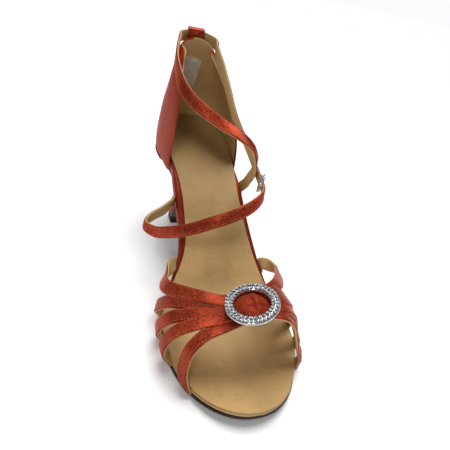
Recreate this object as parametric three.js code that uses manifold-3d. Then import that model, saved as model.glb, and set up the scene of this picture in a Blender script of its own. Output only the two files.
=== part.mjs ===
// Right shoe of a pair of Latin ballroom sandals: satin straps on a flared heel, open toe and open waist.
// The frame is X to the medial side, -Y to the toe, +Z up. The origin is on the floor under the ball.
import * as THREE from 'three';
import { mergeVertices } from 'three/addons/utils/BufferGeometryUtils.js';
import Module from 'manifold-3d';

const wasm = await Module();
wasm.setup();

// Driving dimensions in millimetres.
const soleLength = 210;
const ballWidth = 76;
const ballShare = 0.704;
const heelRise = 70;
const toeSpring = 5;
const sockThickness = 1;
const boardThickness = 1.7;
const boardDepth = 7.8;
const boardTopCup = 1.2;
const outsoleThickness = 1.6;
const rimWidth = 3.8;
const edgeEase = 0.6;
const liftHeight = 5.2;
const heelSeatWidth = 49;
const heelFront = 99.5;
const seatGap = 0.4;
const counterWall = 2.2;
const counterEase = 0.6;
const footGap = 0.75;
const counterHeight = 66.5;
const counterFront = 90.5;
const counterLean = 7;
const ankleHeight = 136;
const strapWidth = 7.1;
const strapThickness = 1.7;
const vampHeight = 35.6;
const vampStrapWidth = 7.4;
const vampStrapThickness = 1.8;
const ringWidth = 27.6;
const ringDepth = 26.5;
const ringBore = 17.4;
const ringHeight = 2.6;
const ringCentre = new THREE.Vector2(2, -26);
const ringTilt = 15;
const padHeight = 4.2;
const loopWidth = 10.5;
const loopThickness = 1.3;
const loopEase = 0.4;
const buckleLength = 9.6;
const buckleBar = 1.4;
const buckleEase = 0.7;
const prongDiameter = 1.2;
const prongSlot = 6.4;
const gap = 0.3;
const degree = Math.PI / 180;

// Rise of the sock's top from heel back (0) to toe (1): share of heelRise, and share of toeSpring.
const riseRows = [
  { along: 0, rise: 1, spring: 0 },
  { along: 0.05, rise: 0.962, spring: 0 },
  { along: 0.12, rise: 0.902, spring: 0 },
  { along: 0.25, rise: 0.835, spring: 0 },
  { along: 0.38, rise: 0.66, spring: 0 },
  { along: 0.5, rise: 0.34, spring: 0 },
  { along: 0.6, rise: 0.07, spring: 0 },
  { along: 0.68, rise: 0, spring: 0 },
  { along: 0.86, rise: 0, spring: 0 },
  { along: 0.93, rise: 0, spring: 0.4 },
  { along: 1, rise: 0, spring: 1 },
];

// Half widths of the sock as shares of ballWidth, and the edges beyond it as shares of rimWidth.
const outlineRows = [
  { along: 0, medial: 0, lateral: 0, rim: 0, tread: 0 },
  { along: 0.03, medial: 0.19, lateral: 0.18, rim: 0, tread: 0 },
  { along: 0.07, medial: 0.275, lateral: 0.27, rim: 0, tread: 0 },
  { along: 0.13, medial: 0.318, lateral: 0.33, rim: 0, tread: 0 },
  { along: 0.28, medial: 0.29, lateral: 0.262, rim: 0, tread: 0 },
  { along: 0.31, medial: 0.285, lateral: 0.247, rim: 0.7, tread: 0 },
  { along: 0.38, medial: 0.282, lateral: 0.22, rim: 1, tread: 0.1 },
  { along: 0.5, medial: 0.35, lateral: 0.205, rim: 1, tread: 0.3 },
  { along: 0.6, medial: 0.47, lateral: 0.36, rim: 0.45, tread: 0.3 },
  { along: 0.7, medial: 0.545, lateral: 0.455, rim: 0.1, tread: 0.25 },
  { along: 0.8, medial: 0.512, lateral: 0.44, rim: 0.1, tread: 0.25 },
  { along: 0.89, medial: 0.4, lateral: 0.37, rim: 0.1, tread: 0.25 },
  { along: 0.95, medial: 0.285, lateral: 0.272, rim: 0.1, tread: 0.25 },
  { along: 0.985, medial: 0.165, lateral: 0.155, rim: 0.1, tread: 0.25 },
  { along: 1, medial: 0, lateral: 0, rim: 0, tread: 0 },
];

// Depth of the insole board: 0 is boardThickness and 1 is boardDepth.
const depthRows = [
  { along: 0, depth: 1.15 },
  { along: 0.12, depth: 1 },
  { along: 0.5, depth: 0.95 },
  { along: 0.6, depth: 0.4 },
  { along: 0.68, depth: 0 },
  { along: 1, depth: 0 },
];

// Heel levels from the lift to the seat. Front and back are shares of the seat's length ahead of its back
// end, half is a share of half the seat's width, and follow is how far the level follows the sloping seat.
const heelRows = [
  { up: 0, front: 0.78, back: 0.39, half: 0.45, follow: 0 },
  { up: 0.2, front: 0.77, back: 0.44, half: 0.41, follow: 0 },
  { up: 0.38, front: 0.735, back: 0.44, half: 0.385, follow: 0 },
  { up: 0.52, front: 0.705, back: 0.425, half: 0.4, follow: 0 },
  { up: 0.65, front: 0.685, back: 0.377, half: 0.47, follow: 0 },
  { up: 0.765, front: 0.7, back: 0.335, half: 0.6, follow: 0.04 },
  { up: 0.86, front: 0.79, back: 0.26, half: 0.76, follow: 0.25 },
  { up: 0.94, front: 0.92, back: 0.13, half: 0.92, follow: 0.65 },
  { up: 1, front: 1, back: 0, half: 1, follow: 1 },
];

// Counter levels from its foot to its top. Back and front are shares of soleLength ahead of the heel back,
// their heights are shares of counterHeight above the foot, and half is a share of the seat's width.
const counterRows = [
  { level: 0, back: 0, front: 0, backUp: 0, frontUp: 0, half: 1 },
  { level: 0.17, back: -0.002, front: -0.002, backUp: 0.16, frontUp: 0.16, half: 1.004 },
  { level: 0.3, back: -0.002, front: 0.002, backUp: 0.3, frontUp: 0.32, half: 0.955 },
  { level: 0.45, back: 0.009, front: -0.005, backUp: 0.45, frontUp: 0.48, half: 0.89 },
  { level: 0.6, back: 0.029, front: -0.018, backUp: 0.58, frontUp: 0.64, half: 0.79 },
  { level: 0.75, back: 0.056, front: -0.045, backUp: 0.72, frontUp: 0.79, half: 0.67 },
  { level: 0.88, back: 0.082, front: -0.09, backUp: 0.88, frontUp: 0.94, half: 0.54 },
  { level: 1, back: 0.098, front: -0.145, backUp: 1.035, frontUp: 1.09, half: 0.36 },
];

// The instep strap runs from the heel loop round the lateral side to the medial waist, and the arch strap
// from the loop down the medial side, over the waist and round a lateral bow to the lateral waist.
// Along is a share of soleLength ahead of the heel back, across of ballWidth, up of ankleHeight.
const instepRoute = [
  { along: 0.085, across: -0.209, up: 0.982, faces: [-0.45, 0.9, 0.2] },
  { along: 0.106, across: -0.245, up: 0.98, faces: [-0.9, 0.45, 0.15] },
  { along: 0.138, across: -0.264, up: 0.969, faces: [-1, 0.2, 0.1] },
  { along: 0.172, across: -0.288, up: 0.95, faces: [-0.85, 0.5, 0.1] },
  { along: 0.215, across: -0.312, up: 0.907, faces: [-1, 0.15, 0.15] },
  { along: 0.265, across: -0.287, up: 0.839, faces: [-0.9, -0.2, 0.3] },
  { along: 0.31, across: -0.236, up: 0.798, faces: [-0.7, -0.5, 0.5] },
  { along: 0.357, across: -0.127, up: 0.761, faces: [-0.4, -0.7, 0.6] },
  { along: 0.4, across: 0.016, up: 0.728, faces: [0, -0.75, 0.65] },
  { along: 0.435, across: 0.133, up: 0.706, faces: [0.3, -0.7, 0.65] },
  { along: 0.465, across: 0.208, up: 0.678, faces: [0.6, -0.65, 0.5] },
  { along: 0.487, across: 0.235, up: 0.645, faces: [0.85, -0.5, 0.2] },
  { along: 0.487, across: 0.242, up: 0.595, faces: [1, -0.1, 0] },
  { along: 0.47, across: 0.254, up: 0.557, faces: [1, 0, 0] },
  { along: 0.43, across: 0.288, up: 0.505, faces: [1, 0, 0.1] },
  { along: 0.385, across: 0.332, up: 0.452, faces: [1, 0, 0.2] },
  { along: 0.355, across: 0.35, up: 0.413, faces: [1, 0, 0.1] },
];
const archRoute = [
  { along: 0.083, across: 0.027, up: 0.979, faces: [0.5, 0.85, 0.2] },
  { along: 0.103, across: 0.067, up: 0.9735, faces: [0.9, 0.4, 0.15] },
  { along: 0.1335, across: 0.071, up: 0.965, faces: [1, 0.15, 0.1] },
  { along: 0.165, across: 0.048, up: 0.955, faces: [0.95, 0.3, 0.1] },
  { along: 0.222, across: 0.072, up: 0.901, faces: [1, 0.2, 0] },
  { along: 0.285, across: 0.103, up: 0.83, faces: [1, 0.1, 0.1] },
  { along: 0.345, across: 0.142, up: 0.745, faces: [1, 0, 0.1] },
  { along: 0.41, across: 0.236, up: 0.642, faces: [1, -0.1, 0.1] },
  { along: 0.455, across: 0.288, up: 0.577, faces: [1, -0.15, 0.1] },
  { along: 0.488, across: 0.314, up: 0.539, faces: [1, -0.15, 0.1] },
  { along: 0.512, across: 0.328, up: 0.514, faces: [1, -0.2, 0.1] },
  { along: 0.532, across: 0.305, up: 0.497, faces: [0.8, -0.6, 0.2] },
  { along: 0.562, across: 0.205, up: 0.475, faces: [0.4, -0.8, 0.4] },
  { along: 0.58, across: 0.043, up: 0.443, faces: [0.1, -0.8, 0.6] },
  { along: 0.578, across: -0.106, up: 0.406, faces: [-0.2, -0.8, 0.6] },
  { along: 0.555, across: -0.248, up: 0.348, faces: [-0.35, -0.75, 0.6] },
  { along: 0.52, across: -0.376, up: 0.297, faces: [-0.4, -0.8, 0.45] },
  { along: 0.485, across: -0.469, up: 0.263, faces: [-0.5, -0.85, 0.2] },
  { along: 0.457, across: -0.54, up: 0.272, faces: [-1, -0.1, 0] },
  { along: 0.435, across: -0.48, up: 0.29, faces: [-0.8, 0.6, 0] },
  { along: 0.414, across: -0.372, up: 0.31, faces: [-0.6, 0.8, 0] },
];
const instepEnd = 0.335;
const archEnd = 0.385;
const buckleRow = 9.1;

// The five vamp straps, lateral side and medial side: foot as a share of soleLength ahead of the heel back,
// slot as the place at the ring in shares of its radius ahead of its centre, bow as a share of sideBow, and
// sweep as the power of the way from foot to ring, under 1 where the strap leans forward early.
const vampStraps = [
  {
    lateral: { foot: 0.535, slot: -0.5, bow: 2.3, sweep: 0.46 },
    medial: { foot: 0.54, slot: -0.5, bow: 1.75, sweep: 0.7 },
  },
  {
    lateral: { foot: 0.648, slot: -0.36, bow: 0.55, sweep: 1 },
    medial: { foot: 0.635, slot: -0.32, bow: 0, sweep: 1 },
  },
  {
    lateral: { foot: 0.735, slot: -0.13, bow: 0.55, sweep: 1 },
    medial: { foot: 0.72, slot: -0.02, bow: 0, sweep: 1 },
  },
  {
    lateral: { foot: 0.808, slot: 0.12, bow: 0.7, sweep: 0.95 },
    medial: { foot: 0.795, slot: 0.26, bow: 0.2, sweep: 1 },
  },
  {
    lateral: { foot: 0.895, slot: 0.36, bow: 0.3, sweep: 0.85 },
    medial: { foot: 0.86, slot: 0.52, bow: 0.35, sweep: 1 },
  },
];

// Side shape of a vamp strap from its foot to the crown: shares of the half span, of the crown's height
// and of the way from foot to ring.
const vampStations = [
  { lateral: 1, medial: 1, lateralUp: 0, medialUp: 0, along: 0, bow: 0.07 },
  { lateral: 1, medial: 0.955, lateralUp: 0.14, medialUp: 0.14, along: 0.08, bow: 0.85 },
  { lateral: 1, medial: 0.82, lateralUp: 0.34, medialUp: 0.36, along: 0.24, bow: 1 },
  { lateral: 0.93, medial: 0.71, lateralUp: 0.58, medialUp: 0.63, along: 0.46, bow: 0.7 },
  { lateral: 0.74, medial: 0.57, lateralUp: 0.75, medialUp: 0.9, along: 0.7, bow: 0.35 },
  { lateral: 0.44, medial: 0.35, lateralUp: 0.845, medialUp: 1.045, along: 0.9, bow: 0.1 },
  { lateral: 0, medial: 0, lateralUp: 1, medialUp: 1, along: 1, bow: 0 },
];
const sideBow = 4.5;

const clamp = THREE.MathUtils.clamp;
const lerp = THREE.MathUtils.lerp;

// Monotone cubic through one column of a table of rows, read at a place in the key column.
function column(rows, key, name, at) {
  const last = rows.length - 1;
  const xs = rows.map((row) => row[key]);
  const ys = rows.map((row) => row[name]);
  const slopes = ys.slice(1).map((y, i) => (y - ys[i]) / (xs[i + 1] - xs[i]));
  const tangents = ys.map((_, i) => {
    const before = slopes[Math.max(i - 1, 0)];
    const after = slopes[Math.min(i, last - 1)];
    return before * after <= 0 ? 0 : (2 * before * after) / (before + after);
  });
  const x = clamp(at, xs[0], xs[last]);
  const i = clamp(xs.findIndex((value) => value >= x) - 1, 0, last - 1);
  const step = xs[i + 1] - xs[i];
  const t = (x - xs[i]) / step;
  const rest = 1 - t;
  const start = (1 + 2 * t) * rest * rest * ys[i] + t * rest * rest * step * tangents[i];
  const end = t * t * (3 - 2 * t) * ys[i + 1] + t * t * (t - 1) * step * tangents[i + 1];
  return start + end;
}

// Outline columns are read over the angle of a half turn, which keeps the two ends round.
const turnOf = (along) => Math.acos(clamp(1 - 2 * along, -1, 1));
const alongOf = (turn) => (1 - Math.cos(turn)) / 2;
const turnRows = outlineRows.map((row) => ({ ...row, turn: turnOf(row.along) }));
const outline = (name, along) => column(turnRows, 'turn', name, turnOf(along));

const yOf = (along) => soleLength * (ballShare - along);
const alongAt = (y) => ballShare - y / soleLength;
const soleStack = outsoleThickness + boardThickness + sockThickness + 2 * gap;
const boardAt = (along) => lerp(boardThickness, boardDepth, column(depthRows, 'along', 'depth', along));
const sockHalf = (side, along) => ballWidth * outline(side > 0 ? 'medial' : 'lateral', along);
const boardHalf = (side, along) => sockHalf(side, along) + rimWidth * outline('rim', along);
const treadHalf = (side, along) => sockHalf(side, along) + rimWidth * outline('tread', along);

function sockTop(along) {
  const rise = heelRise * column(riseRows, 'along', 'rise', along);
  return soleStack + rise + toeSpring * column(riseRows, 'along', 'spring', along);
}

const boardTop = (along) => sockTop(along) - sockThickness - gap;
const boardBottom = (along) => boardTop(along) - boardAt(along);

// Closed mesh from points and triangles, turned so that its faces point out.
function closedGeometry(points, triangles) {
  let volume = 0;
  for (const [a, b, c] of triangles) {
    volume += points[a].dot(points[b].clone().cross(points[c]));
  }
  const turned = volume < 0 ? triangles.map(([a, b, c]) => [a, c, b]) : triangles;
  const geometry = new THREE.BufferGeometry();
  const places = points.flatMap((point) => point.toArray());
  geometry.setAttribute('position', new THREE.Float32BufferAttribute(places, 3));
  geometry.setIndex(turned.flat());
  geometry.computeVertexNormals();
  return geometry;
}

// Skin over a row of closed sections of equal, even point count. Each end is closed by strips between the
// section's two halves, so a curved end keeps its shape.
function loft(sections) {
  const count = sections[0].length;
  const end = (sections.length - 1) * count;
  const triangles = [];
  for (let i = 0; i + 1 < sections.length; i += 1) {
    for (let j = 0; j < count; j += 1) {
      const next = (j + 1) % count;
      const a = i * count + j;
      const b = i * count + next;
      triangles.push([a, b, b + count], [a, b + count, a + count]);
    }
  }
  for (let j = 0; j + 1 < count / 2; j += 1) {
    const k = count - 1 - j;
    triangles.push([j + 1, j, k], [j + 1, k, k - 1]);
    triangles.push([end + j, end + j + 1, end + k - 1], [end + j, end + k - 1, end + k]);
  }
  return closedGeometry(sections.flat(), triangles);
}

// Closed wall between two grids of equal size, an outer and an inner one.
function wall(outer, inner) {
  const rows = outer.length;
  const columns = outer[0].length;
  const points = [...outer.flat(), ...inner.flat()];
  const skip = rows * columns;
  const triangles = [];
  const quad = (a, b, c, d) => triangles.push([a, b, c], [a, c, d]);
  for (let i = 0; i + 1 < rows; i += 1) {
    for (let j = 0; j + 1 < columns; j += 1) {
      const a = i * columns + j;
      quad(a, a + 1, a + columns + 1, a + columns);
      quad(skip + a, skip + a + columns, skip + a + columns + 1, skip + a + 1);
    }
  }
  for (let j = 0; j + 1 < columns; j += 1) {
    const top = (rows - 1) * columns + j;
    quad(j + 1, j, skip + j, skip + j + 1);
    quad(top, top + 1, skip + top + 1, skip + top);
  }
  for (let i = 0; i + 1 < rows; i += 1) {
    const start = i * columns;
    const end = start + columns - 1;
    quad(start, start + columns, skip + start + columns, skip + start);
    quad(end + columns, end, skip + end, skip + end + columns);
  }
  return closedGeometry(points, triangles);
}

// Flat strap along a curve: a section with thin rounded edges, its face turned by the facing curve.
function strapSections(path, facing, width, thickness, steps) {
  const half = width / 2;
  const edge = [[half, 0.15], [half - thickness * 0.35, 0.5]];
  const outline2d = [
    ...edge,
    ...edge.map(([x, y]) => [-x, y]).reverse(),
    ...edge.map(([x, y]) => [-x, -y]),
    ...edge.map(([x, y]) => [x, -y]).reverse(),
  ];
  return Array.from({ length: steps + 1 }, (_, i) => {
    const t = i / steps;
    const centre = path.getPoint(t);
    const forward = path.getTangent(t);
    const normal = facing.getPoint(t).projectOnPlane(forward).normalize();
    const across = forward.clone().cross(normal);
    const place = ([x, y]) => centre.clone().addScaledVector(across, x).addScaledVector(normal, y * thickness);
    return outline2d.map(place);
  });
}

const solidOf = (geometry) => {
  const merged = geometry.clone();
  merged.deleteAttribute('normal');
  merged.deleteAttribute('uv');
  const closed = mergeVertices(merged, 1e-4);
  return new wasm.Manifold(new wasm.Mesh({
    numProp: 3,
    vertProperties: new Float32Array(closed.attributes.position.array),
    triVerts: new Uint32Array(closed.index.array),
  }));
};

function geometryOf(solid) {
  const mesh = solid.getMesh();
  const geometry = new THREE.BufferGeometry();
  geometry.setAttribute('position', new THREE.Float32BufferAttribute(mesh.vertProperties, 3));
  geometry.setIndex(Array.from(mesh.triVerts));
  geometry.computeVertexNormals();
  return geometry;
}

// One cross section of a sole layer: flat below, cupped above, with eased edges.
function layerSection(along, half, top, bottom, cup, floorCup) {
  const y = yOf(along);
  const medial = half(1, along);
  const lateral = half(-1, along);
  const depth = top - bottom;
  const ease = Math.min(depth * 0.4, medial * 0.4, edgeEase);
  const shares = [-1, -0.6, -0.2, 0.2, 0.6, 1];
  const at = (share, drawnIn) => ((share < 0 ? lateral : medial) - drawnIn) * share;
  const inset = ease * 0.6;
  const points = shares.map((share) => new THREE.Vector3(at(share, inset), y, top + cup * share * share));
  points.push(new THREE.Vector3(medial, y, top + cup - ease));
  points.push(new THREE.Vector3(medial, y, bottom + floorCup + ease));
  for (const share of shares.toReversed()) {
    points.push(new THREE.Vector3(at(share, inset), y, bottom + floorCup * share * share));
  }
  points.push(new THREE.Vector3(-lateral, y, bottom + floorCup + ease));
  points.push(new THREE.Vector3(-lateral, y, top + cup - ease));
  return points;
}

const endShare = 0.0012;
const soleSteps = 36;
const soleStations = Array.from({ length: soleSteps + 1 }, (_, i) => (
  alongOf(lerp(turnOf(endShare), turnOf(1 - endShare), i / soleSteps))));

// The layers share their stations, so their facets keep the gap between them.
function layer(from, half, top, bottom, cups) {
  const stations = [from, ...soleStations.filter((along) => along > from + endShare)];
  const cup = (along) => boardTopCup * column(riseRows, 'along', 'rise', along);
  return loft(stations.map((along) => (
    layerSection(along, half, top(along), bottom(along), cups[0] * cup(along), cups[1] * cup(along)))));
}

function insoleSock() {
  const bottom = (along) => sockTop(along) - sockThickness;
  return layer(endShare, sockHalf, sockTop, bottom, [1, 1]);
}

function insoleBoard() {
  return layer(endShare, boardHalf, boardTop, boardBottom, [1, 0]);
}

function outsole() {
  const top = (along) => boardBottom(along) - gap;
  const bottom = (along) => top(along) - outsoleThickness;
  return layer(alongAt(heelFront), treadHalf, top, bottom, [0, 0]);
}

// Plan shape of the heel seat: half width as a share of the widest, for a share of the seat's length. The
// seat flares out until it carries the counter's foot.
const seatLength = alongAt(heelFront);
const seatWidest = sockHalf(1, 0.13);
const seatFlare = counterEase + counterWall - gap;
const planShares = [1, 0.8, 0.6, 0.44, 0.3, 0.19, 0.1, 0.04, 0.01];

function heelSection(row, height) {
  const back = yOf(seatLength * row.back);
  const front = yOf(seatLength * row.front);
  const side = (sign, share) => {
    const seat = sockHalf(sign, Math.max(share, endShare) * seatLength) / seatWidest;
    const neck = Math.sqrt(1 - (1 - Math.min(share / 0.55, 1)) ** 2.4);
    const y = lerp(back, front, share);
    const half = row.half * heelSeatWidth / 2 * lerp(neck, seat, row.follow);
    const x = sign * (half + seatFlare * row.follow ** 2);
    const seatBottom = boardBottom(alongAt(y)) - seatGap;
    return new THREE.Vector3(x, y, lerp(height, seatBottom, row.follow));
  };
  const lateralSide = planShares.map((share) => side(-1, share));
  const medialSide = planShares.map((share) => side(1, share));
  return [...lateralSide, ...medialSide.reverse()];
}

function heel() {
  const foot = liftHeight + gap;
  const top = boardBottom(seatLength) - seatGap;
  const levels = Array.from({ length: 17 }, (_, i) => i / 16);
  return loft(levels.map((up) => {
    const row = {
      front: column(heelRows, 'up', 'front', up),
      back: column(heelRows, 'up', 'back', up),
      half: column(heelRows, 'up', 'half', up),
      follow: column(heelRows, 'up', 'follow', up),
    };
    return heelSection(row, lerp(foot, top, up));
  }));
}

function heelLift() {
  const row = heelRows[0];
  return loft([heelSection(row, 0), heelSection(row, liftHeight)]);
}

// Inner face of the counter: the seat's outline, drawn in and leaned back level by level.
const counterShares = [...planShares, 0, ...planShares.toReversed()];
const counterLength = alongAt(counterFront);

function counterPoint(index, level) {
  const sign = index < planShares.length ? -1 : 1;
  const share = counterShares[index];
  const row = (name) => column(counterRows, 'level', name, level);
  const half = (sockHalf(sign, share * counterLength) + counterEase) * row('half') * (share === 0 ? 0 : 1);
  const back = yOf(row('back'));
  const front = yOf(counterLength + row('front'));
  const foot = boardBottom(share * counterLength);
  const rise = counterHeight * lerp(row('backUp'), row('frontUp'), share);
  const lean = counterLean * level * level;
  const y = lerp(back, front, share) + (share === 0 ? counterEase : 0);
  return new THREE.Vector3(sign * half - lean, y, foot + rise);
}

function counter() {
  const levels = Array.from({ length: 13 }, (_, i) => i / 12);
  const inner = levels.map((level) => counterShares.map((_, j) => counterPoint(j, level)));
  const outer = inner.map((row, i) => row.map((point, j) => {
    const left = row[Math.max(j - 1, 0)];
    const right = row[Math.min(j + 1, row.length - 1)];
    const below = inner[Math.max(i - 1, 0)][j];
    const above = inner[Math.min(i + 1, inner.length - 1)][j];
    const normal = right.clone().sub(left).cross(above.clone().sub(below)).normalize();
    return point.clone().addScaledVector(normal, -counterWall);
  }));
  return wall(outer, inner);
}

const routePoint = (row) => new THREE.Vector3(ballWidth * row.across, yOf(row.along), ankleHeight * row.up);
const smoothPath = (points) => new THREE.CatmullRomCurve3(points, false, 'centripetal');

// The strap's route starts at the medial waist, passes the heel loop and ends at the lateral waist. The loop
// sits behind the counter's top edge, so its upper half stands above it.
const counterTop = boardBottom(0) + counterHeight * counterRows[counterRows.length - 1].backUp;
const counterBack = yOf(counterRows[counterRows.length - 1].back) + counterEase + counterWall;
const loopCentre = new THREE.Vector3(
  -counterLean,
  counterBack + 2 * gap + loopThickness + loopEase + strapThickness / 2,
  counterTop,
);
const loopFace = [0, 1, 0.25];
const loopRow = (side) => ({
  point: loopCentre.clone().add(new THREE.Vector3(side * (loopWidth / 2 + gap), 0, 0)),
  faces: loopFace,
});

// Growth of the board's half width for each millimetre forward.
function edgeSlope(sign, along) {
  const step = 0.01;
  return (boardHalf(sign, along + step) - boardHalf(sign, along - step)) / (2 * step * soleLength);
}

// End of a strap, flat against the board's edge.
function sideAnchor(sign, along) {
  const away = boardHalf(sign, along) + footGap + strapThickness / 2;
  const point = new THREE.Vector3(sign * away, yOf(along), boardTop(along) - boardDepth / 2);
  return { point, faces: [sign, edgeSlope(sign, along), 0] };
}

const ankleRows = [
  sideAnchor(1, instepEnd),
  ...instepRoute.toReversed().map((row) => ({ point: routePoint(row), faces: row.faces })),
  loopRow(-1),
  loopRow(0),
  loopRow(1),
  ...archRoute.map((row) => ({ point: routePoint(row), faces: row.faces })),
  sideAnchor(-1, archEnd),
];
const anklePath = smoothPath(ankleRows.map((row) => row.point));
const ankleFacing = smoothPath(ankleRows.map((row) => new THREE.Vector3(...row.faces).normalize()));

const ankleSteps = 108;

// Frame of the strap where the buckle sits: X along the strap, Y across it and Z out of its face.
function buckleFrame() {
  const t = (instepRoute.length + 4 + buckleRow) / (ankleRows.length - 1);
  const forward = anklePath.getTangent(t);
  const normal = ankleFacing.getPoint(t).projectOnPlane(forward).normalize();
  const frame = new THREE.Matrix4().makeBasis(forward, normal.clone().cross(forward), normal);
  return frame.setPosition(anklePath.getPoint(t));
}

function ankleStrap() {
  const strap = loft(strapSections(anklePath, ankleFacing, strapWidth, strapThickness, ankleSteps));
  const slot = new THREE.BoxGeometry(prongSlot, prongDiameter + 2 * gap, strapThickness * 3);
  slot.translate(prongSlot / 2 - prongDiameter, 0, 0).applyMatrix4(buckleFrame());
  return geometryOf(solidOf(strap).subtract(solidOf(slot)));
}

// One bar of the frame lies over the strap and the other under it.
const barOffset = strapThickness / 2 + buckleEase + buckleBar / 2;
const buckleTilt = Math.asin(barOffset / (buckleLength / 2 - buckleBar / 2));

function roundedRectangle(shape, length, width, radius) {
  const x = length / 2;
  const y = width / 2;
  shape.moveTo(radius - x, -y);
  shape.lineTo(x - radius, -y).absarc(x - radius, radius - y, radius, -Math.PI / 2, 0);
  shape.lineTo(x, y - radius).absarc(x - radius, y - radius, radius, 0, Math.PI / 2);
  shape.lineTo(radius - x, y).absarc(radius - x, y - radius, radius, Math.PI / 2, Math.PI);
  shape.lineTo(-x, radius - y).absarc(radius - x, radius - y, radius, Math.PI, Math.PI * 1.5);
  return shape;
}

// Rectangular band of the given bar round an opening, centred on the origin.
function bandGeometry(length, width, bar, depth) {
  const shape = roundedRectangle(new THREE.Shape(), length + 2 * bar, width + 2 * bar, bar);
  shape.holes.push(roundedRectangle(new THREE.Path(), length, width, bar * 0.3));
  const band = new THREE.ExtrudeGeometry(shape, { depth, bevelEnabled: false, curveSegments: 3 });
  return band.translate(0, 0, -depth / 2);
}

function buckle() {
  const opening = strapWidth + 2 * loopEase;
  const frame = bandGeometry(buckleLength - 2 * buckleBar, opening, buckleBar, buckleBar);
  return frame.rotateY(buckleTilt).applyMatrix4(buckleFrame());
}

function prong() {
  const rod = new THREE.CylinderGeometry(prongDiameter / 2, prongDiameter / 2, buckleLength, 8);
  rod.rotateZ(90 * degree).translate(0, 0, buckleBar / 2 + gap + prongDiameter / 2);
  return rod.rotateY(buckleTilt).applyMatrix4(buckleFrame());
}

function heelLoop() {
  const opening = [strapThickness + 2 * loopEase, strapWidth + 2 * loopEase];
  const band = bandGeometry(...opening, loopThickness, loopWidth);
  const tilt = Math.atan(loopFace[2]);
  band.rotateY(90 * degree).rotateX(90 * degree).rotateX(tilt);
  return band.translate(loopCentre.x, loopCentre.y, loopCentre.z);
}

// Half of a vamp strap's route, from its foot to the ring.
function vampSide(side, name, sign) {
  const foot = boardHalf(sign, side.foot) + footGap + vampStrapThickness / 2;
  const end = new THREE.Vector3(sign * foot, yOf(side.foot), boardBottom(side.foot) + gap);
  const bow = sign * sideBow * side.bow;
  const crownY = ringCentre.y - side.slot * ringDepth / 2;
  return [end, ...vampStations.map((row) => new THREE.Vector3(
    lerp(ringCentre.x, sign * foot, row[name]) + bow * row.bow,
    lerp(yOf(side.foot), crownY, row.along ** side.sweep),
    lerp(boardTop(side.foot), soleStack + vampHeight, row[`${name}Up`]),
  ))];
}

function vampPath(strap) {
  const medialHalf = vampSide(strap.medial, 'medial', 1).reverse().slice(1);
  return smoothPath([...vampSide(strap.lateral, 'lateral', -1), ...medialHalf]);
}

// A strap's face looks away from the foot: along the sole's edge at its ends, up and out over the crown.
function vampFacing(strap, path) {
  const lateralTurn = edgeSlope(-1, strap.lateral.foot);
  const medialTurn = edgeSlope(1, strap.medial.foot);
  const getPoint = (t) => {
    const { x, z } = path.getPoint(t);
    const out = x - ringCentre.x;
    const level = clamp((z - soleStack) / vampHeight, 0, 1);
    const slope = (out > 0 ? medialTurn : lateralTurn) * Math.abs(out) * (1 - level);
    return new THREE.Vector3(out, slope, z - soleStack);
  };
  return { getPoint };
}

function vamp() {
  const pieces = vampStraps.map((strap) => {
    const path = vampPath(strap);
    const sections = strapSections(path, vampFacing(strap, path), vampStrapWidth, vampStrapThickness, 34);
    return solidOf(loft(sections));
  });
  const padRadius = ringBore / 2 - 2 * gap;
  const pad = new THREE.SphereGeometry(1, 20, 12);
  pad.scale(padRadius * ringWidth / ringDepth, padRadius, padHeight);
  pad.translate(ringCentre.x, ringCentre.y, soleStack + vampHeight);
  return geometryOf(pieces.reduce((sum, piece) => sum.add(piece), solidOf(pad)));
}

// Oval ring: its bore and its depth run along the shoe, its width across.
function ring() {
  const outer = ringDepth / 2;
  const inner = ringBore / 2;
  const ease = ringHeight * 0.3;
  const profile = [
    [inner, 0], [outer - ease, 0], [outer, ease], [outer, ringHeight - ease],
    [outer - ease, ringHeight], [inner + ease, ringHeight], [inner, ringHeight - ease], [inner, 0],
  ];
  const band = new THREE.LatheGeometry(profile.map(([x, y]) => new THREE.Vector2(x, y)), 40);
  return band.scale(ringWidth / ringDepth, 1, 1);
}

const satin = { color: 0xa8452f, roughness: 0.38, metalness: 0 };
const leather = { color: 0xb08e5c, roughness: 0.6, metalness: 0 };
const suede = { color: 0x3f3532, roughness: 0.95, metalness: 0 };
const rubber = { color: 0x2a201e, roughness: 0.7, metalness: 0 };
const silver = { color: 0xd8d8dc, roughness: 0.2, metalness: 0.9 };

const group = new THREE.Group();
function add(name, geometry, finish) {
  const mesh = new THREE.Mesh(geometry, new THREE.MeshStandardMaterial(finish));
  mesh.name = name;
  group.add(mesh);
  return mesh;
}

add('outsole', outsole(), suede);
add('insole_board', insoleBoard(), satin);
add('insole_sock', insoleSock(), leather);
add('heel', heel(), satin);
add('heel_lift', heelLift(), rubber);
add('counter', counter(), satin);
add('vamp', vamp(), satin);
add('ankle_strap', ankleStrap(), satin);
add('heel_loop', heelLoop(), satin);
add('buckle_frame', buckle(), silver);
add('buckle_prong', prong(), silver);
const ringMesh = add('ring_ornament', ring(), silver);
ringMesh.rotation.set(90 * degree, 0, ringTilt * degree);
ringMesh.position.set(ringCentre.x, ringCentre.y, soleStack + vampHeight + vampStrapThickness / 2 + gap);

export default group;
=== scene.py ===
"""Looks of a right-foot ballroom sandal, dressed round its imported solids.

Lengths in the classes are in millimetres and turn to metres where a mesh is placed.
The frame is X to the wearer's inner side, -Y to the toe and +Z up.
"""

import logging
import math
from dataclasses import dataclass
from enum import Enum

import bmesh
import bpy
import numpy as np
from mathutils import Matrix, Vector


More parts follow.
